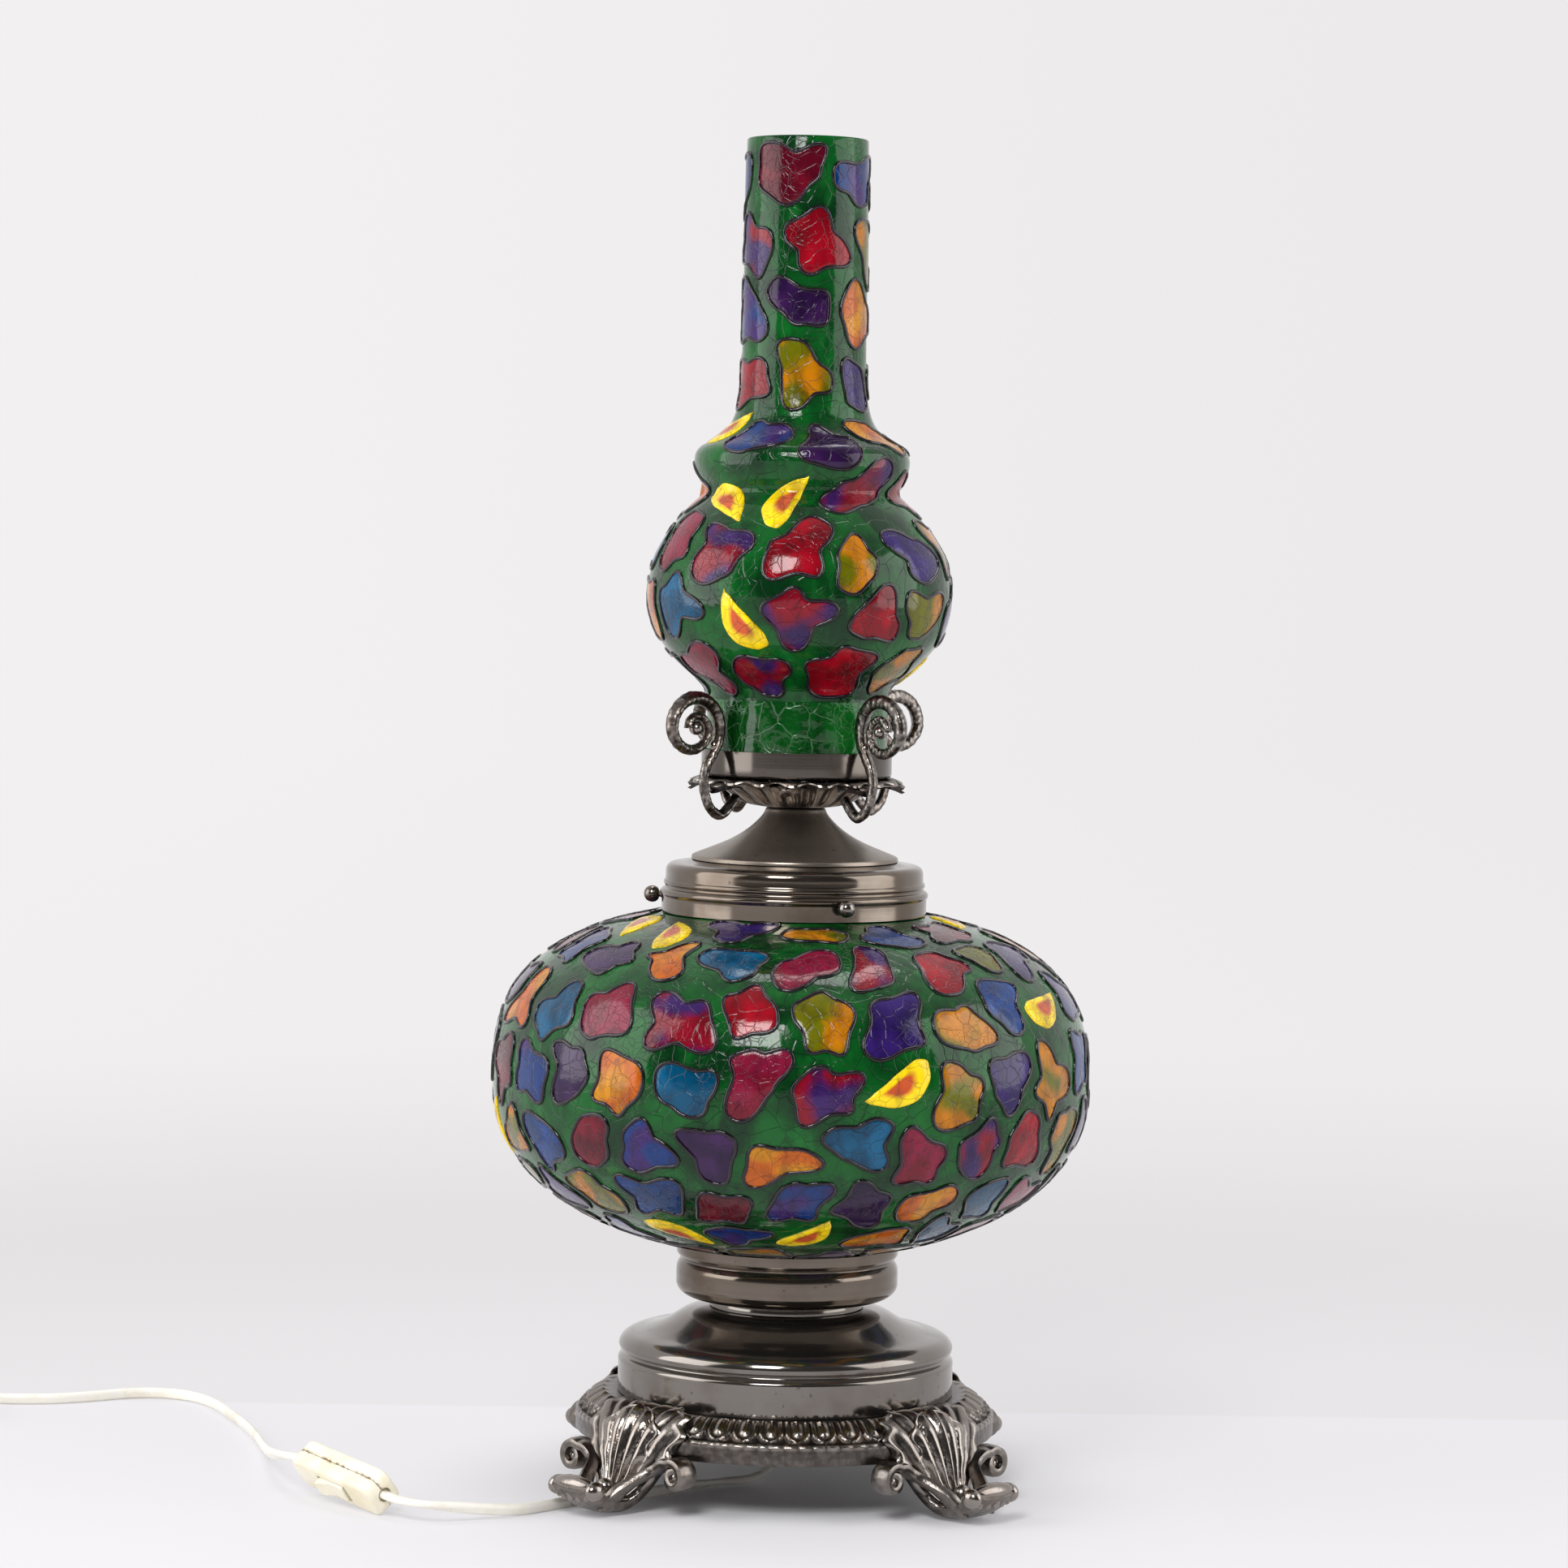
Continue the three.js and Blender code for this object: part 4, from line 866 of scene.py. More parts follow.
cup = spun("spun_lower_cup", cup_line, 144, 1.2)
worn_by(drum, nickel, "lamp", "spun_metal", "base_cover")
worn_by(neck, nickel, "lamp", "spun_metal", "neck_ring")
worn_by(cup, warm_nickel, "lamp", "spun_metal", "lower_cup")


# Globe: blown crackle glass, open above and below, that stands in the lower cup under the fitter. It is
# stained green all over, with patches of coloured lacquer that are each fenced in by a raised line of
# black relief paint, and a few yellow drops.
GLOBE_RADIUS, GLOBE_MIDDLE = 147.2, 200.7


def globe_half(height, power, neck, sign, steps=30):
    """The globe's outline from its middle up or down to a neck, as part of a rounded oblong"""
    line = []
    for i in range(1, steps + 1):
        turn = i / steps * math.acos((neck / GLOBE_RADIUS) ** (power / 2))
        radius = GLOBE_RADIUS * math.cos(turn) ** (2 / power)
        rise = height * (1 - (radius / GLOBE_RADIUS) ** power) ** (1 / power)
        line.append((radius, GLOBE_MIDDLE + sign * rise))
    return line


class Skin:
    """An outline as a surface to paint on: a distance along it and an angle round it give a point"""

    def __init__(self, line):
        self.line = [Vector(p) for p in line]
        self.runs = runs_of(self.line)

    def at(self, run):
        """The outline's point at a distance along it, and its direction there"""
        run = min(max(run, 0), self.runs[-1] - 1e-6)
        i = max(k for k in range(len(self.runs)) if self.runs[k] <= run and k < len(self.line) - 1)
        share = (run - self.runs[i]) / (self.runs[i + 1] - self.runs[i])
        slope = (self.line[i + 1] - self.line[i]).normalized()
        return self.line[i].lerp(self.line[i + 1], share), slope

    def point(self, run, angle, lift):
        """The point in space, so many millimetres off the skin"""
        (radius, height), slope = self.at(run)
        radius, height = radius + slope.y * lift, height - slope.x * lift
        return Vector((radius * math.cos(angle), radius * math.sin(angle), height)) / 1000


OUTLINE = 48  # corners in the outline of a patch


def softened(outline, times):
    """An outline with its corners rubbed down so many times"""
    for _ in range(times):
        after = outline[1:] + outline[:1]
        outline = [(outline[k - 1] + corner * 2 + after[k]) / 4 for k, corner in enumerate(outline)]
    return outline


def splat(chance, size, lobes):
    """A free-form outline in the flat with a few blunt lobes, and hollows between them"""
    turn, lopsided = chance.uniform(0, 2 * math.pi), chance.uniform(0, 2 * math.pi)
    wide = chance.uniform(0.86, 1.2)
    spread = 0.4 if lobes > 3 else 0.56
    tips = []
    for k in range(lobes):
        tips.append((turn + 2 * math.pi * (k + chance.uniform(-0.2, 0.2)) / lobes, chance.uniform(0.36, 0.68)))
    outline = []
    for angle in around(OUTLINE):
        reach = 0.5 + 0.06 * math.cos(angle - lopsided) + 0.03 * math.cos(5 * angle + turn)
        for tip, tall in tips:
            off = abs((angle - tip + math.pi) % (2 * math.pi) - math.pi)
            reach += tall * math.exp(-((off / spread) ** 4))
        outline.append(Vector((math.cos(angle) * wide, math.sin(angle) / wide)) * size * reach)
    return softened(outline, 3)


def teardrop(chance, size):
    """A drop with one sharp end, a little bent to one side"""
    tilt, curl = chance.uniform(0, 2 * math.pi), chance.choice((-1, 1)) * 0.2
    outline = []
    for angle in around(OUTLINE):
        x = size * 1.25 * math.cos(angle)
        y = size * 0.7 * math.sin(angle) * (0.5 - 0.5 * math.cos(angle)) ** 0.42 + curl * x * x / size
        wobble = 1 + 0.035 * math.sin(9 * angle + tilt)
        outline.append(Matrix.Rotation(tilt, 2) @ Vector((x, y)) * wobble)
    return outline


PATCH_TONES = [  # pairs of colours that run into one another, which the patches take in turn
    ((12, 58, 122), (6, 48, 96)), ((0, 68, 100), (8, 86, 124)), ((46, 25, 96), (34, 16, 76)),
    ((38, 14, 56), (54, 23, 72)), ((122, 3, 20), (152, 5, 26)), ((82, 3, 24), (106, 7, 30)),
    ((126, 20, 52), (110, 10, 34)), ((190, 118, 3), (94, 96, 3)), ((184, 88, 10), (196, 128, 6)),
    ((98, 98, 3), (184, 112, 6)), ((11, 48, 108), (54, 27, 94)), ((126, 8, 29), (52, 25, 86)),
]


def strewn(skin, chance, low, high, pitch, size, drops):
    """Patches in staggered rows from low to high along the skin, splats and a share of drops"""
    rows = max(round((high - low) / pitch), 1)
    patches = []
    for row in range(rows):
        run = low + (row + 0.5) * (high - low) / rows
        radius = skin.at(run)[0].x
        count = max(round(2 * math.pi * radius / (pitch * 1.02)), 3)
        start = chance.uniform(0, 1)
        for k in range(count):
            kind = "drop" if chance.random() < drops else "splat"
            if kind == "drop":
                shape = teardrop(chance, size * 0.72)
            else:
                shape = splat(chance, size, chance.choice((2, 3, 3, 4, 4, 5)))
            angle = 2 * math.pi * (k + start + chance.uniform(-0.16, 0.16)) / count
            middle = run + chance.uniform(-0.2, 0.2) * pitch
            patches.append({"run": middle, "angle": angle, "kind": kind, "shape": shape})
    return patches


def spots_of(skin, patches):
    """Each patch's outline on the skin, and a tree of all outlines and of rings inside them, by patch"""
    inner_rings, inner_step = (0.5, 0.12), 3
    outlines = [[spot_on(skin, patch, corner, 0) for corner in patch["shape"]] for patch in patches]
    tree = kdtree.KDTree(len(patches) * (OUTLINE + len(inner_rings) * OUTLINE // inner_step))
    for number, patch in enumerate(patches):
        inside = [corner * share for share in inner_rings for corner in patch["shape"][::inner_step]]
        for spot in outlines[number] + [spot_on(skin, patch, corner, 0) for corner in inside]:
            tree.insert(spot, number)
    tree.balance()
    return outlines, tree


def evened(shape, before):
    """A shape whose corners that moved, and those beside them, are drawn towards their neighbours' reach"""
    moved = [new.length != old.length for new, old in zip(shape, before)]
    reach = [corner.length for corner in shape]
    even = []
    for k, corner in enumerate(shape):
        after = (k + 1) % len(shape)
        near = moved[k] or moved[k - 1] or moved[after]
        mean = 0.5 * reach[k] + 0.25 * (reach[k - 1] + reach[after])
        even.append(corner * (mean / reach[k]) if near else corner)
    return even


def laid_out(skin, chance, low, high, pitch, size, gap, drops):
    """Strewn patches, shrunk until their fences stay apart, while free lobes grow into the room left"""
    shrink, grow, turns, growing_turns, margin = 0.92, 1.04, 26, 7, 2
    patches = strewn(skin, chance, low, high, pitch, size, drops)
    for turn in range(turns):
        outlines, tree = spots_of(skin, patches)
        for number, patch in enumerate(patches):
            before, is_drop = patch["shape"], patch["kind"] == "drop"
            lobe = 0.85 * sum(corner.length for corner in before) / len(before)
            shape = []
            for corner, spot in zip(before, outlines[number]):
                near = [found for found in tree.find_range(spot, gap * 1.5 / 1000) if found[1] != number]
                if is_drop:
                    near = [found for found in near if patches[found[1]]["kind"] == "drop"]
                apart = min([away * 1000 for _, owner, away in near], default=gap * 2)
                over = not low - margin < patch["run"] + corner.y < high + margin
                free = apart > gap * 1.5 and corner.length > lobe
                grows = turn < growing_turns and free and not is_drop
                shape.append(corner * (shrink if apart < gap or over else grow if grows else 1))
            if is_drop:
                least = min(new.length / old.length for new, old in zip(shape, before))
                patch["shape"] = [corner * least for corner in before]
            else:
                patch["shape"] = evened(shape, before)
    for patch in patches:
        patch["shape"] = softened(patch["shape"], 2)
    return patches


def spot_on(skin, patch, corner, lift):
    """Where a point given in the flat round a patch's middle lies on the skin"""
    run = patch["run"] + corner.y
    radius = max(skin.at(patch["run"] + corner.y * 0.6)[0].x, 6)
    return skin.point(run, patch["angle"] + corner.x / radius, lift)


YELLOW, CLAY = Vector(tone(250, 214, 18)[:3]), Vector(tone(196, 84, 44)[:3])


def lacquer(name, skin, patches, chance):
    """The patches as thin domes with their colours kept at each vertex; drops are thicker and yellow"""
    vertices, faces, colours = [], [], []
    # The rings of a dome: each one's share of the outline, and its height, from under the skin to the top
    rings = [(0.5, -0.4), (1.0, -0.4), (1.0, 0.05), (0.94, 0.22), (0.8, 0.32), (0.6, 0.38), (0.36, 0.4), (0.14, 0.4)]
    for number, patch in enumerate(patches):
        is_drop = patch["kind"] == "drop"
        thick = 2.6 if is_drop else 1.0
        first, second = [Vector(tone(*c)[:3]) for c in PATCH_TONES[number * 5 % len(PATCH_TONES)]]
        drift = Vector([chance.uniform(-50, 50) for _ in range(3)])
        start, count = len(vertices), len(patch["shape"])
        middle = sum(patch["shape"], Vector((0, 0))) / count
        for scale, lift in rings:
            for corner in patch["shape"]:
                flat = middle + (corner - middle) * scale
                rough = 0.12 * noise.noise((flat.x * 0.6, flat.y * 0.6, drift.x)) if is_drop and lift > 0.1 else 0
                vertices.append(spot_on(skin, patch, flat, lift * (thick if lift > 0 else 1) + rough))
                if is_drop:
                    within = eased(0.5 - scale + 0.1 * noise.noise(flat.to_3d() * 0.4 + drift), 0, 0.1)
                    colours.append(YELLOW.lerp(CLAY, within))
                else:
                    share = eased(noise.noise(flat.to_3d() * 0.07 + drift), -0.12, 0.3)
                    colours.append(first.lerp(second, share))
        vertices += [spot_on(skin, patch, middle, 0.4 * thick), spot_on(skin, patch, middle, -0.4)]
        colours += [colours[-1]] * 2
        for ring in range(len(rings) - 1):
            faces += band(start + ring * count, count)
        last = start + (len(rings) - 1) * count
        faces += [(last + k, last + (k + 1) % count, len(vertices) - 2) for k in range(count)]
        faces += [(start + (k + 1) % count, start + k, len(vertices) - 1) for k in range(count)]
    piece = meshed(name, vertices, faces)
    kept = piece.data.attributes.new("paint", "FLOAT_COLOR", "POINT")
    kept.data.foreach_set("color", [c for colour in colours for c in (*colour, 1)])
    piece.data.shade_smooth()
    return piece


def fences(name, skin, patches, thickness):
    """The raised black lines round the splats, laid on as a thread of paint of uneven thickness"""
    thread = bpy.data.curves.new(name, "CURVE")
    thread.dimensions = "3D"
    thread.bevel_depth = thickness / 1000
    thread.bevel_resolution = 1
    for patch in patches:
        if patch["kind"] == "drop":
            continue
        line = thread.splines.new("POLY")
        line.points.add(len(patch["shape"]) - 1)
        line.use_cyclic_u = True
        for point, corner in zip(line.points, patch["shape"]):
            point.co = (*spot_on(skin, patch, corner, 0.1), 1)
            point.radius = 1 + 0.22 * noise.noise((corner.x * 0.5, corner.y * 0.5, patch["angle"] * 9))
    picked(placed(name, thread))
    bpy.ops.object.convert(target="MESH")
    bpy.ops.object.shade_smooth()
    return bpy.context.object


def crackled(finish, scale, warp):
    """Fine dark veins of crackle, 1 in the vein"""
    coarse = 1 - finish.ramp(finish.cells(scale, warp), 0.0, 0.035)
    fine = 1 - finish.ramp(finish.cells(scale * 2.3, warp * 0.6), 0.0, 0.045)
    return coarse.math("MAXIMUM", coarse, fine * finish.ramp(finish.cloud(30, 2), 0.45, 0.6))


green = Finish("green_crackle_glass", Roughness=0.08, IOR=1.34, Coat_Weight=0.15, Coat_Roughness=0.03)
stain = green.ramp(green.cloud(38, 6), 0.36, 0.66)
streak = green.ramp(green.cloud(120, 4, (1, 1, 0.35)), 0.5, 0.75)
ground = green.blend(stain, tone(4, 42, 16), tone(8, 84, 28))
ground = green.blend(streak * 0.35, ground, tone(20, 116, 40))
veins = crackled(green, 85, 0.01)
green.set(Base_Color=green.blend(veins * 0.55, ground, tone(5, 34, 14)))
green.bump(green.cloud(60, 3) + green.cloud(220, 2) * 0.2 - veins * 0.25, 0.0012, 0.35)

paint = Finish("stained_lacquer", Roughness=0.12, IOR=1.36, Coat_Weight=0.15, Coat_Roughness=0.04)
own = paint.node("ShaderNodeAttribute", {"attribute_name": "paint"}, None, 0)
lit = paint.ramp(paint.cloud(70, 5), 0.4, 0.72)
brushed = paint.ramp(paint.cloud(160, 4, (1, 1, 0.4)), 0.35, 0.7)
deep = paint.blend(brushed * 0.7, own, (0.35, 0.33, 0.38, 1), "MULTIPLY")
vivid = paint.blend(lit * 0.8, deep, own)
hair = crackled(paint, 110, 0.008)
paint.set(Base_Color=paint.blend(hair * 0.45, vivid, tone(30, 14, 16)))
paint.bump(paint.cloud(90, 4) - hair * 0.3, 0.0009, 0.4)

line_black = Finish("black_relief_line", Roughness=0.14, IOR=1.4, Coat_Weight=0.3, Coat_Roughness=0.05)
line_black.set(Base_Color=line_black.blend(line_black.cloud(140, 3), tone(10, 7, 11), tone(30, 20, 28)))
line_black.bump(line_black.cloud(500, 3), 0.0005, 0.4)

lower_half, upper_half = globe_half(85, 2.2, 54.6, -1), globe_half(86, 2.7, 64, 1)
neck_in = rounded([(48, 110), (48, 113), (48, 116), (50, 117.6), lower_half[-1]], 3)
neck_out = rounded([upper_half[-1], (60.4, 285.6), (58.7, 288), (58.5, 292), (58.5, 297), (58.5, 303)], 3)
globe_line = neck_in[:-1] + lower_half[::-1] + [(GLOBE_RADIUS, GLOBE_MIDDLE)] + upper_half + neck_out[1:]
globe = spun("globe_of_glass", globe_line, 160, 2.6)
worn_by(globe, green, "lamp", "painted_glass", "globe_glass")
globe_skin = Skin(globe_line)
chance = random.Random(41)
globe_low, globe_high = globe_skin.runs[11] + 2, globe_skin.runs[-1] - 26
globe_patches = laid_out(globe_skin, chance, globe_low, globe_high, 33.5, 20.5, 5.2, 0.085)
globe_paint = lacquer("globe_lacquer", globe_skin, globe_patches, chance)
globe_lines = fences("globe_relief_lines", globe_skin, globe_patches, 1.0)
worn_by(globe_paint, paint, "lamp", "painted_glass")
worn_by(globe_lines, line_black, "lamp", "painted_glass")


# Globe fitter and cone: a spun collar with a rolled bead sits over the globe's neck, held by three
# ball-headed thumb screws, and a concave spun cone covers the step up to the gallery.
fitter_bead = [
    (65.4, 290), (65.5, 291.4), (66.1, 292.6), (66.1, 293.8), (65.2, 295), (64.2, 295.6), (63.9, 296.6),
    (64.5, 297.6), (64.4, 298.8), (63.7, 299.8),
]
fitter_top = [
    (63.7, 299.8), (63.6, 302), (63.5, 304.4), (62.9, 306), (61.4, 307.3), (58.8, 307.9), (56, 308.2),
    (53.4, 308.7), (51.6, 309.2),
]
fitter_line = [(65.4, 283.7), (65.4, 287), *rounded(fitter_bead, 3), *rounded(fitter_top, 3)[1:]]
fitter_line += [(50.6, 309.4), (30, 309.4), (5.4, 309.4)]
fitter = spun("spun_fitter", fitter_line, 160, 1.2)
SCREW_HEIGHT = 290.7
screw_azimuths = {"front": -69.3, "left": 170.7, "back": 50.7}
for azimuth in screw_azimuths.values():
    outward = Vector((math.cos(math.radians(azimuth)), math.sin(math.radians(azimuth)), 0))
    inner, outer = [outward * radius + UP * SCREW_HEIGHT for radius in (56, 72)]
    drilled(fitter, round_bar("screw_hole", 2.3, inner, outer))
smoothed(fitter, 40)
worn_by(fitter, warm_nickel, "lamp", "spun_metal", "globe_fitter")
cone_side = [
    (51, 310.6), (50.6, 311.5), (49, 312.3), (44, 314.3), (38.5, 316.5), (33, 318.9), (27.6, 321.9), (23, 325.1),
    (19.5, 328.2), (17, 330.9), (15.4, 333.2), (14.7, 335),
]
cone = spun("spun_cone", [(51, 309.7), *rounded(cone_side, 4), (14.2, 335.4), (5.4, 335.4)], 128, 1.2)
worn_by(cone, dusty_nickel, "lamp", "spun_metal", "cone_cover")

screw_line = [
    (0.4, 59), (2, 59), (2, 66.6), (1.5, 67.2), (1.5, 67.8), (2.2, 68), (3.2, 68.6), (3.9, 69.7), (4.2, 71.2),
    (3.9, 72.8), (3.2, 74.1), (2.1, 75), (0.9, 75.35), (0.2, 75.4),
]
lying = Matrix.Translation((0, 0, SCREW_HEIGHT / 1000)) @ Matrix.Rotation(math.radians(90), 4, "Y")
for place, azimuth in screw_azimuths.items():
    screw = in_edit(spun("ball_screw_" + place, screw_line, 32))
    bpy.ops.mesh.fill_holes(sides=0)
    bpy.ops.object.mode_set(mode="OBJECT")
    screw.data.transform(turned(azimuth) @ lying)
    worn_by(screw, nickel, place + "_screw", "spun_metal", "thumb_screw_" + place)


# Gallery: one casting, a shallow bowl of acanthus leaves with a leaf edge, and four scroll arms like
# ram's horns that rise beside the smooth spun cup. It is screwed down on the cone by the tube's nut.
bowl_under = [
    (13, 335.7), (18, 336.3), (24, 338), (29, 340.6), (33, 343.6), (37.4, 346.4), (43, 348), (48, 348.8),
    (50.4, 349.4),
]
bowl_over = [
    (50.2, 350), (48.6, 350.5), (44, 350.3), (39, 349.2), (34, 346.8), (24, 342.4), (12, 340.4), (5.4, 340.2),
]
bowl_line = [(5.4, 335.7), (9, 335.7), *rounded(bowl_under, 4), *bowl_over]
bowl = spun("gallery_bowl", bowl_line, 288, closed=True)
relief = []
for vertex in bowl.data.vertices:
    x, y, z = vertex.co
    radius, turn = math.hypot(x, y) * 1000, math.atan2(y, x)
    share = eased(radius, 15, 30)
    fine = 1 - eased(z * 1000, 349.6, 350.4) * 0.6
    leaf = abs(math.cos(turn * 10 + 0.4))
    veins = abs(math.cos(turn * 30 + radius * 0.12))
    lift = share * fine * (2.0 * leaf ** 0.7 - 1.1 + 0.55 * veins)
    edge = eased(radius, 44, 50)
    out = Vector((x, y, 0)).normalized()
    lobe = math.cos(turn * 20 + 0.8)
    vertex.co += out * (lift * 0.5 + edge * (1.3 * lobe + 0.5)) / 1000
    vertex.co -= UP * (lift * 0.75 * (1 - edge) + fine * edge * (0.8 + 0.9 * lobe)) / 1000
    relief.append(held(0.45 + lift * 0.35))
relief_of(bowl, relief)


def rim_leaf(name, azimuth, size):
    """A curled leaf on the rim, with a middle vein and five points"""
    rows, heights = [], []
    for r in range(17):
        t = r / 16
        out = 40 + 15.5 * size * t
        half = 9.5 * size * math.sin(math.pi * (0.12 + 0.88 * t)) ** 0.6 * (1 + 0.16 * math.cos(6 * math.pi * t))
        height = 347.4 + 2.2 * math.sin(math.pi * t) - 1.4 * t
        row = []
        for k in range(29):
            u = -1 + 2 * k / 28
            lift = 0.7 * abs(math.cos(u * 4.2 + t * 1.5)) + 0.9 * hump(u, 0, 0.12) - 1.2 * u * u
            row.append(Vector((out - 1.6 * u * u, u * half, height + lift)) / 1000)
            heights.append(held(0.4 + lift * 0.35))
        for k in range(14, -1, -2):
            u = -1 + 2 * k / 14
            row.append(Vector((out - 1.6 * u * u, u * half * 0.94, height - 1.9 - 0.8 * u * u)) / 1000)
            # The underside gets a low relief value, so the cast finish paints it in shade
            heights.append(0.15)
        rows.append(row)
    leaf = skinned(name, rows)
    relief_of(leaf, heights)
    leaf.data.transform(turned(azimuth))
    return leaf


def scroll_arm(name, azimuth):
    """A hook under the rim, a stem beside the cup and a rolled spiral, ringed like bark"""
    hook = [
        (37.5, 341.6), (42, 336.6), (47.5, 332.8), (53.6, 336), (57, 342.4), (58.2, 349.6), (56.6, 356.6),
        (53, 362.4), (49.8, 368.6),
    ]
    centre, spiral = Vector((63.6, 375.3)), []
    for i in range(27):
        turn = 1.5 * i / 26
        radius = 14.7 if turn < 0.5 else 3.0 + 11.7 * math.exp(-1.9 * (turn - 0.5))
        angle = math.pi * (1 - 2 * turn)
        spiral.append(tuple(centre + Vector((math.cos(angle), math.sin(angle))) * radius))
    line = flowing([(out, 0, up) for out, up in hook + spiral], 7)
    rows, heights, runs = [], [], runs_of(line)
    side, corners = Vector((0, 1, 0)), 16
    for point, run, i in zip(line, runs, range(len(line))):
        away = bearing(line, i).cross(side)
        share = run / runs[-1]
        thick = 1.9 + 1.35 * hump(share, 0.54, 0.26) + 0.5 * hump(share, 0.06, 0.1)
        drift = 2 * noise.noise((run * 0.2, azimuth, 0))
        row = []
        for angle in around(corners):
            groove = 0.06 * math.sin(run * 1.5 + 1.6 * math.sin(angle * 2) + angle + drift)
            spot = Vector((run * 0.7, math.cos(angle) * 1.4, math.sin(angle) * 1.4 + azimuth))
            uneven = groove + 0.3 * noise.noise(spot)
            radius = thick * (1 + 0.12 * math.cos(angle * 3)) + uneven * min(share * 12, 1)
            row.append(point + side * (radius * 1.08 * math.cos(angle)) + away * radius * math.sin(angle))
            heights.append(held(0.55 + uneven * 1.4))
        rows.append(metres(row))
    arm = skinned(name, rows)
    relief_of(arm, heights)
    knob = pearl("knob", 3.4, centre.x, 0, centre.y, (1, 1.15, 1), 16)
    bud = pearl("bud", 2.2, 52.4, 0, 366.6, (1, 1.2, 1.3), 14)
    arm = joined(name, [arm, knob, bud])
    arm.data.transform(turned(azimuth))
    return arm


gallery_parts = [bowl]
for azimuth in (-50.5, 39.5, 129.5, 219.5):
    gallery_parts.append(scroll_arm("scroll_arm", azimuth))
    gallery_parts.append(rim_leaf("rim_leaf", azimuth, 0.95))
    gallery_parts.append(rim_leaf("rim_leaf", azimuth + 45, 0.9))
gallery = joined("gallery_leaf_casting", gallery_parts)
worn_by(gallery, cast, "lamp", "cast_metal", "gallery_casting")
cup_wall = [
    (5.4, 350.9), (30, 350.9), (44.6, 350.9), (46, 351.2), (46.8, 352), (47, 353.2), (47, 357), (47, 361), (47, 364),
]
gallery_cup = spun("spun_gallery_cup", cup_wall, 128, 1.2)
worn_by(gallery_cup, dark_nickel, "lamp", "spun_metal", "gallery_cup")


# Chimney: blown crackle glass in one piece, a neck of plain green that stands in the cup, a bulb, a
# bead and a straight tube, painted above the neck like the globe. It lifts straight out.
chimney_bulb = [
    (44.6, 388), (44.7, 391), (46.4, 395), (50.2, 398.8), (55.6, 403.2), (61.4, 408.6), (66.6, 414.6),
    (70.4, 420.6), (73, 428), (74.5, 435.4), (74.8, 442), (74, 449.6), (72.2, 456.8), (69.4, 463), (66, 468.8),
    (60.6, 476.4), (55, 482.8), (50.6, 486.8), (48.2, 489.4), (47.6, 491.6), (48.6, 494), (50.6, 497.4),
    (52.4, 501.6), (53, 505.6), (52.4, 509.4), (50.2, 512.4), (46.4, 514.6), (42, 517.2), (38.2, 520.4),
    (35.2, 524.6), (33, 530.4), (31.4, 538.4), (30.8, 548), (30.5, 562),
]
chimney_line = [(44.6, 352.8), (44.6, 362), (44.6, 372), (44.6, 382), *rounded(chimney_bulb, 3)]
chimney_line += [(30.4, 585), (30.3, 610), (30.1, 640), (30, 655), (29.9, 662.6), (29.4, 663.3)]
neck_glass = Finish("plain_green_glass", Roughness=0.04, Transmission_Weight=0.75, IOR=1.45)
clear_veins = crackled(neck_glass, 95, 0.012)
streaks = neck_glass.ramp(neck_glass.cloud(45, 4, (1, 1, 0.3)), 0.35, 0.7)
tint = neck_glass.blend(streaks, tone(6, 84, 24), tone(30, 158, 58))
neck_glass.set(Base_Color=neck_glass.blend(clear_veins * 0.5, tint, tone(150, 205, 155)))
neck_glass.bump(neck_glass.cloud(70, 3) - clear_veins * 0.4, 0.001, 0.35)
chimney = spun("chimney_of_glass", chimney_line, 128, 2.6)
worn_by(chimney, green, "chimney", "painted_glass", "chimney_glass")
chimney.data.materials.append(neck_glass.material)
NECK_TOP = 0.3885
for face in chimney.data.polygons:
    face.material_index = 1 if face.center.z < NECK_TOP else 0
chimney_skin = Skin(chimney_line)
chimney_low, chimney_high = chimney_skin.runs[6] + 3, chimney_skin.runs[-1] - 5
chimney_patches = laid_out(chimney_skin, chance, chimney_low, chimney_high, 34, 19.5, 5.2, 0.1)
chimney_paint = lacquer("chimney_lacquer", chimney_skin, chimney_patches, chance)
chimney_lines = fences("chimney_relief_lines", chimney_skin, chimney_patches, 0.95)
worn_by(chimney_paint, paint, "chimney", "painted_glass")
worn_by(chimney_lines, line_black, "chimney", "painted_glass")


# Inside: a threaded steel tube clamps the whole stack with hexagon nuts and washers. Two small screw-base
# bulbs stand in black holders, one in the chimney and one on a bracket in the globe, and a black bushing
# in the base holds the cord.
def filled_turning(name, line, segments, place):
    """A solid turned piece, moved to its own axis"""
    made = in_edit(spun(name, line, segments))
    bpy.ops.mesh.fill_holes(sides=0)
    bpy.ops.mesh.normals_make_consistent(inside=False)
    bpy.ops.transform.translate(value=(place[0] / 1000, 0, place[1] / 1000))
    bpy.ops.object.mode_set(mode="OBJECT")
    return made


steel = Finish("zinc_plated_steel", Metallic=1.0)
dull = steel.ramp(steel.cloud(180, 5), 0.4, 0.7)
steel.set(Base_Color=steel.blend(dull, tone(176, 176, 172), tone(122, 116, 106)))
steel.set(Roughness=dull * 0.25 + 0.25)
steel.bump(steel.cloud(900, 3), 0.0002, 0.3)
black = Finish("black_plastic", Roughness=0.38, Coat_Weight=0.2)
black.set(Base_Color=black.blend(black.cloud(120, 4), tone(18, 16, 15), tone(44, 40, 37)))
black.bump(black.cloud(900, 2), 0.0001, 0.3)
bulb_glass = Finish("clear_bulb_glass", Roughness=0.02, Transmission_Weight=0.92, IOR=1.3)
bulb_glass.set(Base_Color=bulb_glass.blend(bulb_glass.cloud(60, 3), tone(252, 251, 246), tone(240, 238, 230)))

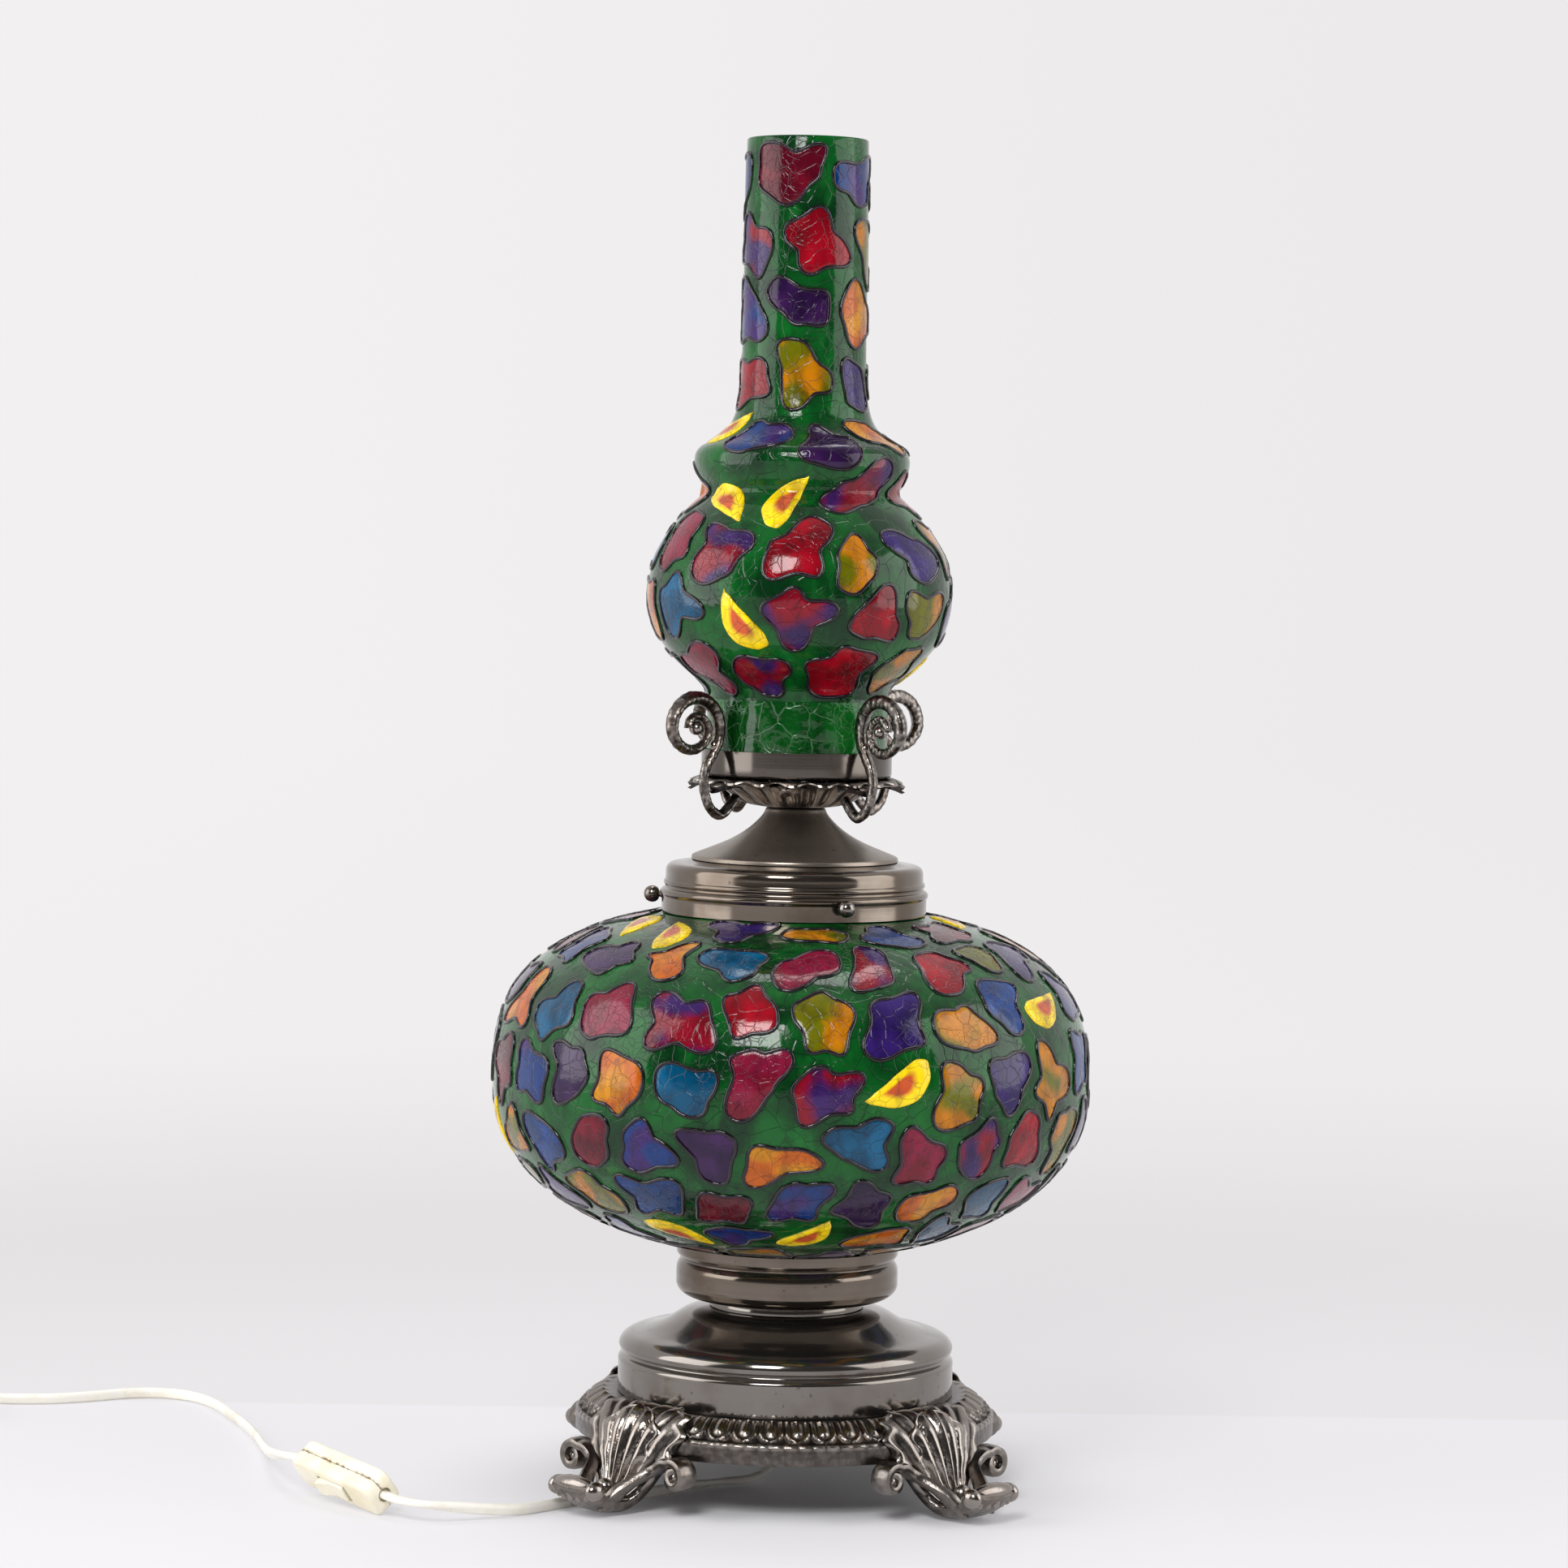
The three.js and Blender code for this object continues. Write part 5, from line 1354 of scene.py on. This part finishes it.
holder_cap = [(2, 0), (9.4, 0), (10.2, 0.5), (13.6, 3.6), (14, 4.6), (14, 12.4), (13.4, 13), (2, 13)]
sleeve_ribs = [(14 - (0.5 if i % 2 else 0), 14.4 + i * 1.1) for i in range(18)]
sleeve = [
    (2, 13.3), (13.2, 13.3), *sleeve_ribs, (14, 38.4), (12.6, 41.7), (11.6, 42), (9.6, 42), (9.4, 41.4), (9.4, 16),
    (2, 16),
]
thread = [(6.8 - (0.6 if i % 2 else 0), 21.8 + i * 1.15) for i in range(17)]
bulb_cap = [(0.6, 18), (2.4, 18.1), (3, 18.8), (5.6, 20.6), *thread, (6.8, 44.6), (6.2, 45), (0.6, 45)]
candle = rounded([
    (0.6, 45.4), (6.5, 45.5), (8.2, 46.6), (10, 50), (12.4, 54.3), (15.6, 62), (17.2, 70), (17.2, 77), (15.6, 87),
    (12.4, 97), (8.4, 106), (5, 113.6), (2.4, 118), (0.6, 119.1),
], 3)
for place, at in (("lower", (36, 128.3)), ("upper", (0, 366.3))):
    for name, line, segments, finish, body, slot, node in (
        ("_cap_turned", holder_cap, 56, black, "lamp", "black_plastic", "_holder_cap"),
        ("_sleeve_turned", sleeve, 56, black, "lamp", "black_plastic", "_holder_body"),
        ("_bulb_cap_turned", bulb_cap, 48, brass, place + "_bulb", "brass", "_bulb_cap"),
        ("_bulb_blown", candle, 56, bulb_glass, place + "_bulb", "bulb_glass", "_bulb_glass"),
    ):
        worn_by(filled_turning(place + name, line, segments, at), finish, body, slot, place + node)

bushing_line = [
    (2.6, 25.1), (3.8, 25.1), (4.3, 25.7), (4.2, 26.3), (4.9, 26.8), (4.8, 27.4), (5.5, 27.9), (5.4, 28.5),
    (6.2, 29.1), (6.4, 29.8), (6.4, 31.9), (6, 32.2), (2.6, 32.2),
]
bushing = filled_turning("bushing_turned", bushing_line, 40, (0, 0))
worn_by(bushing, black, "lamp", "black_plastic", "cord_bushing")

steel_nodes = [
    "central_tube", "base_washer", "base_nut", "cup_nut", "fitter_washer", "fitter_nut", "gallery_washer",
    "gallery_nut", "lower_holder_bracket", "switch_screw",
]
for names, finish in (
    (steel_nodes, steel),
    (["lower_holder_contact", "upper_holder_contact"], brass),
    (["main_lead", "lower_lead"], vinyl),
    (["coil_tie"], black),
):
    for name in names:
        covered(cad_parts[name], finish)
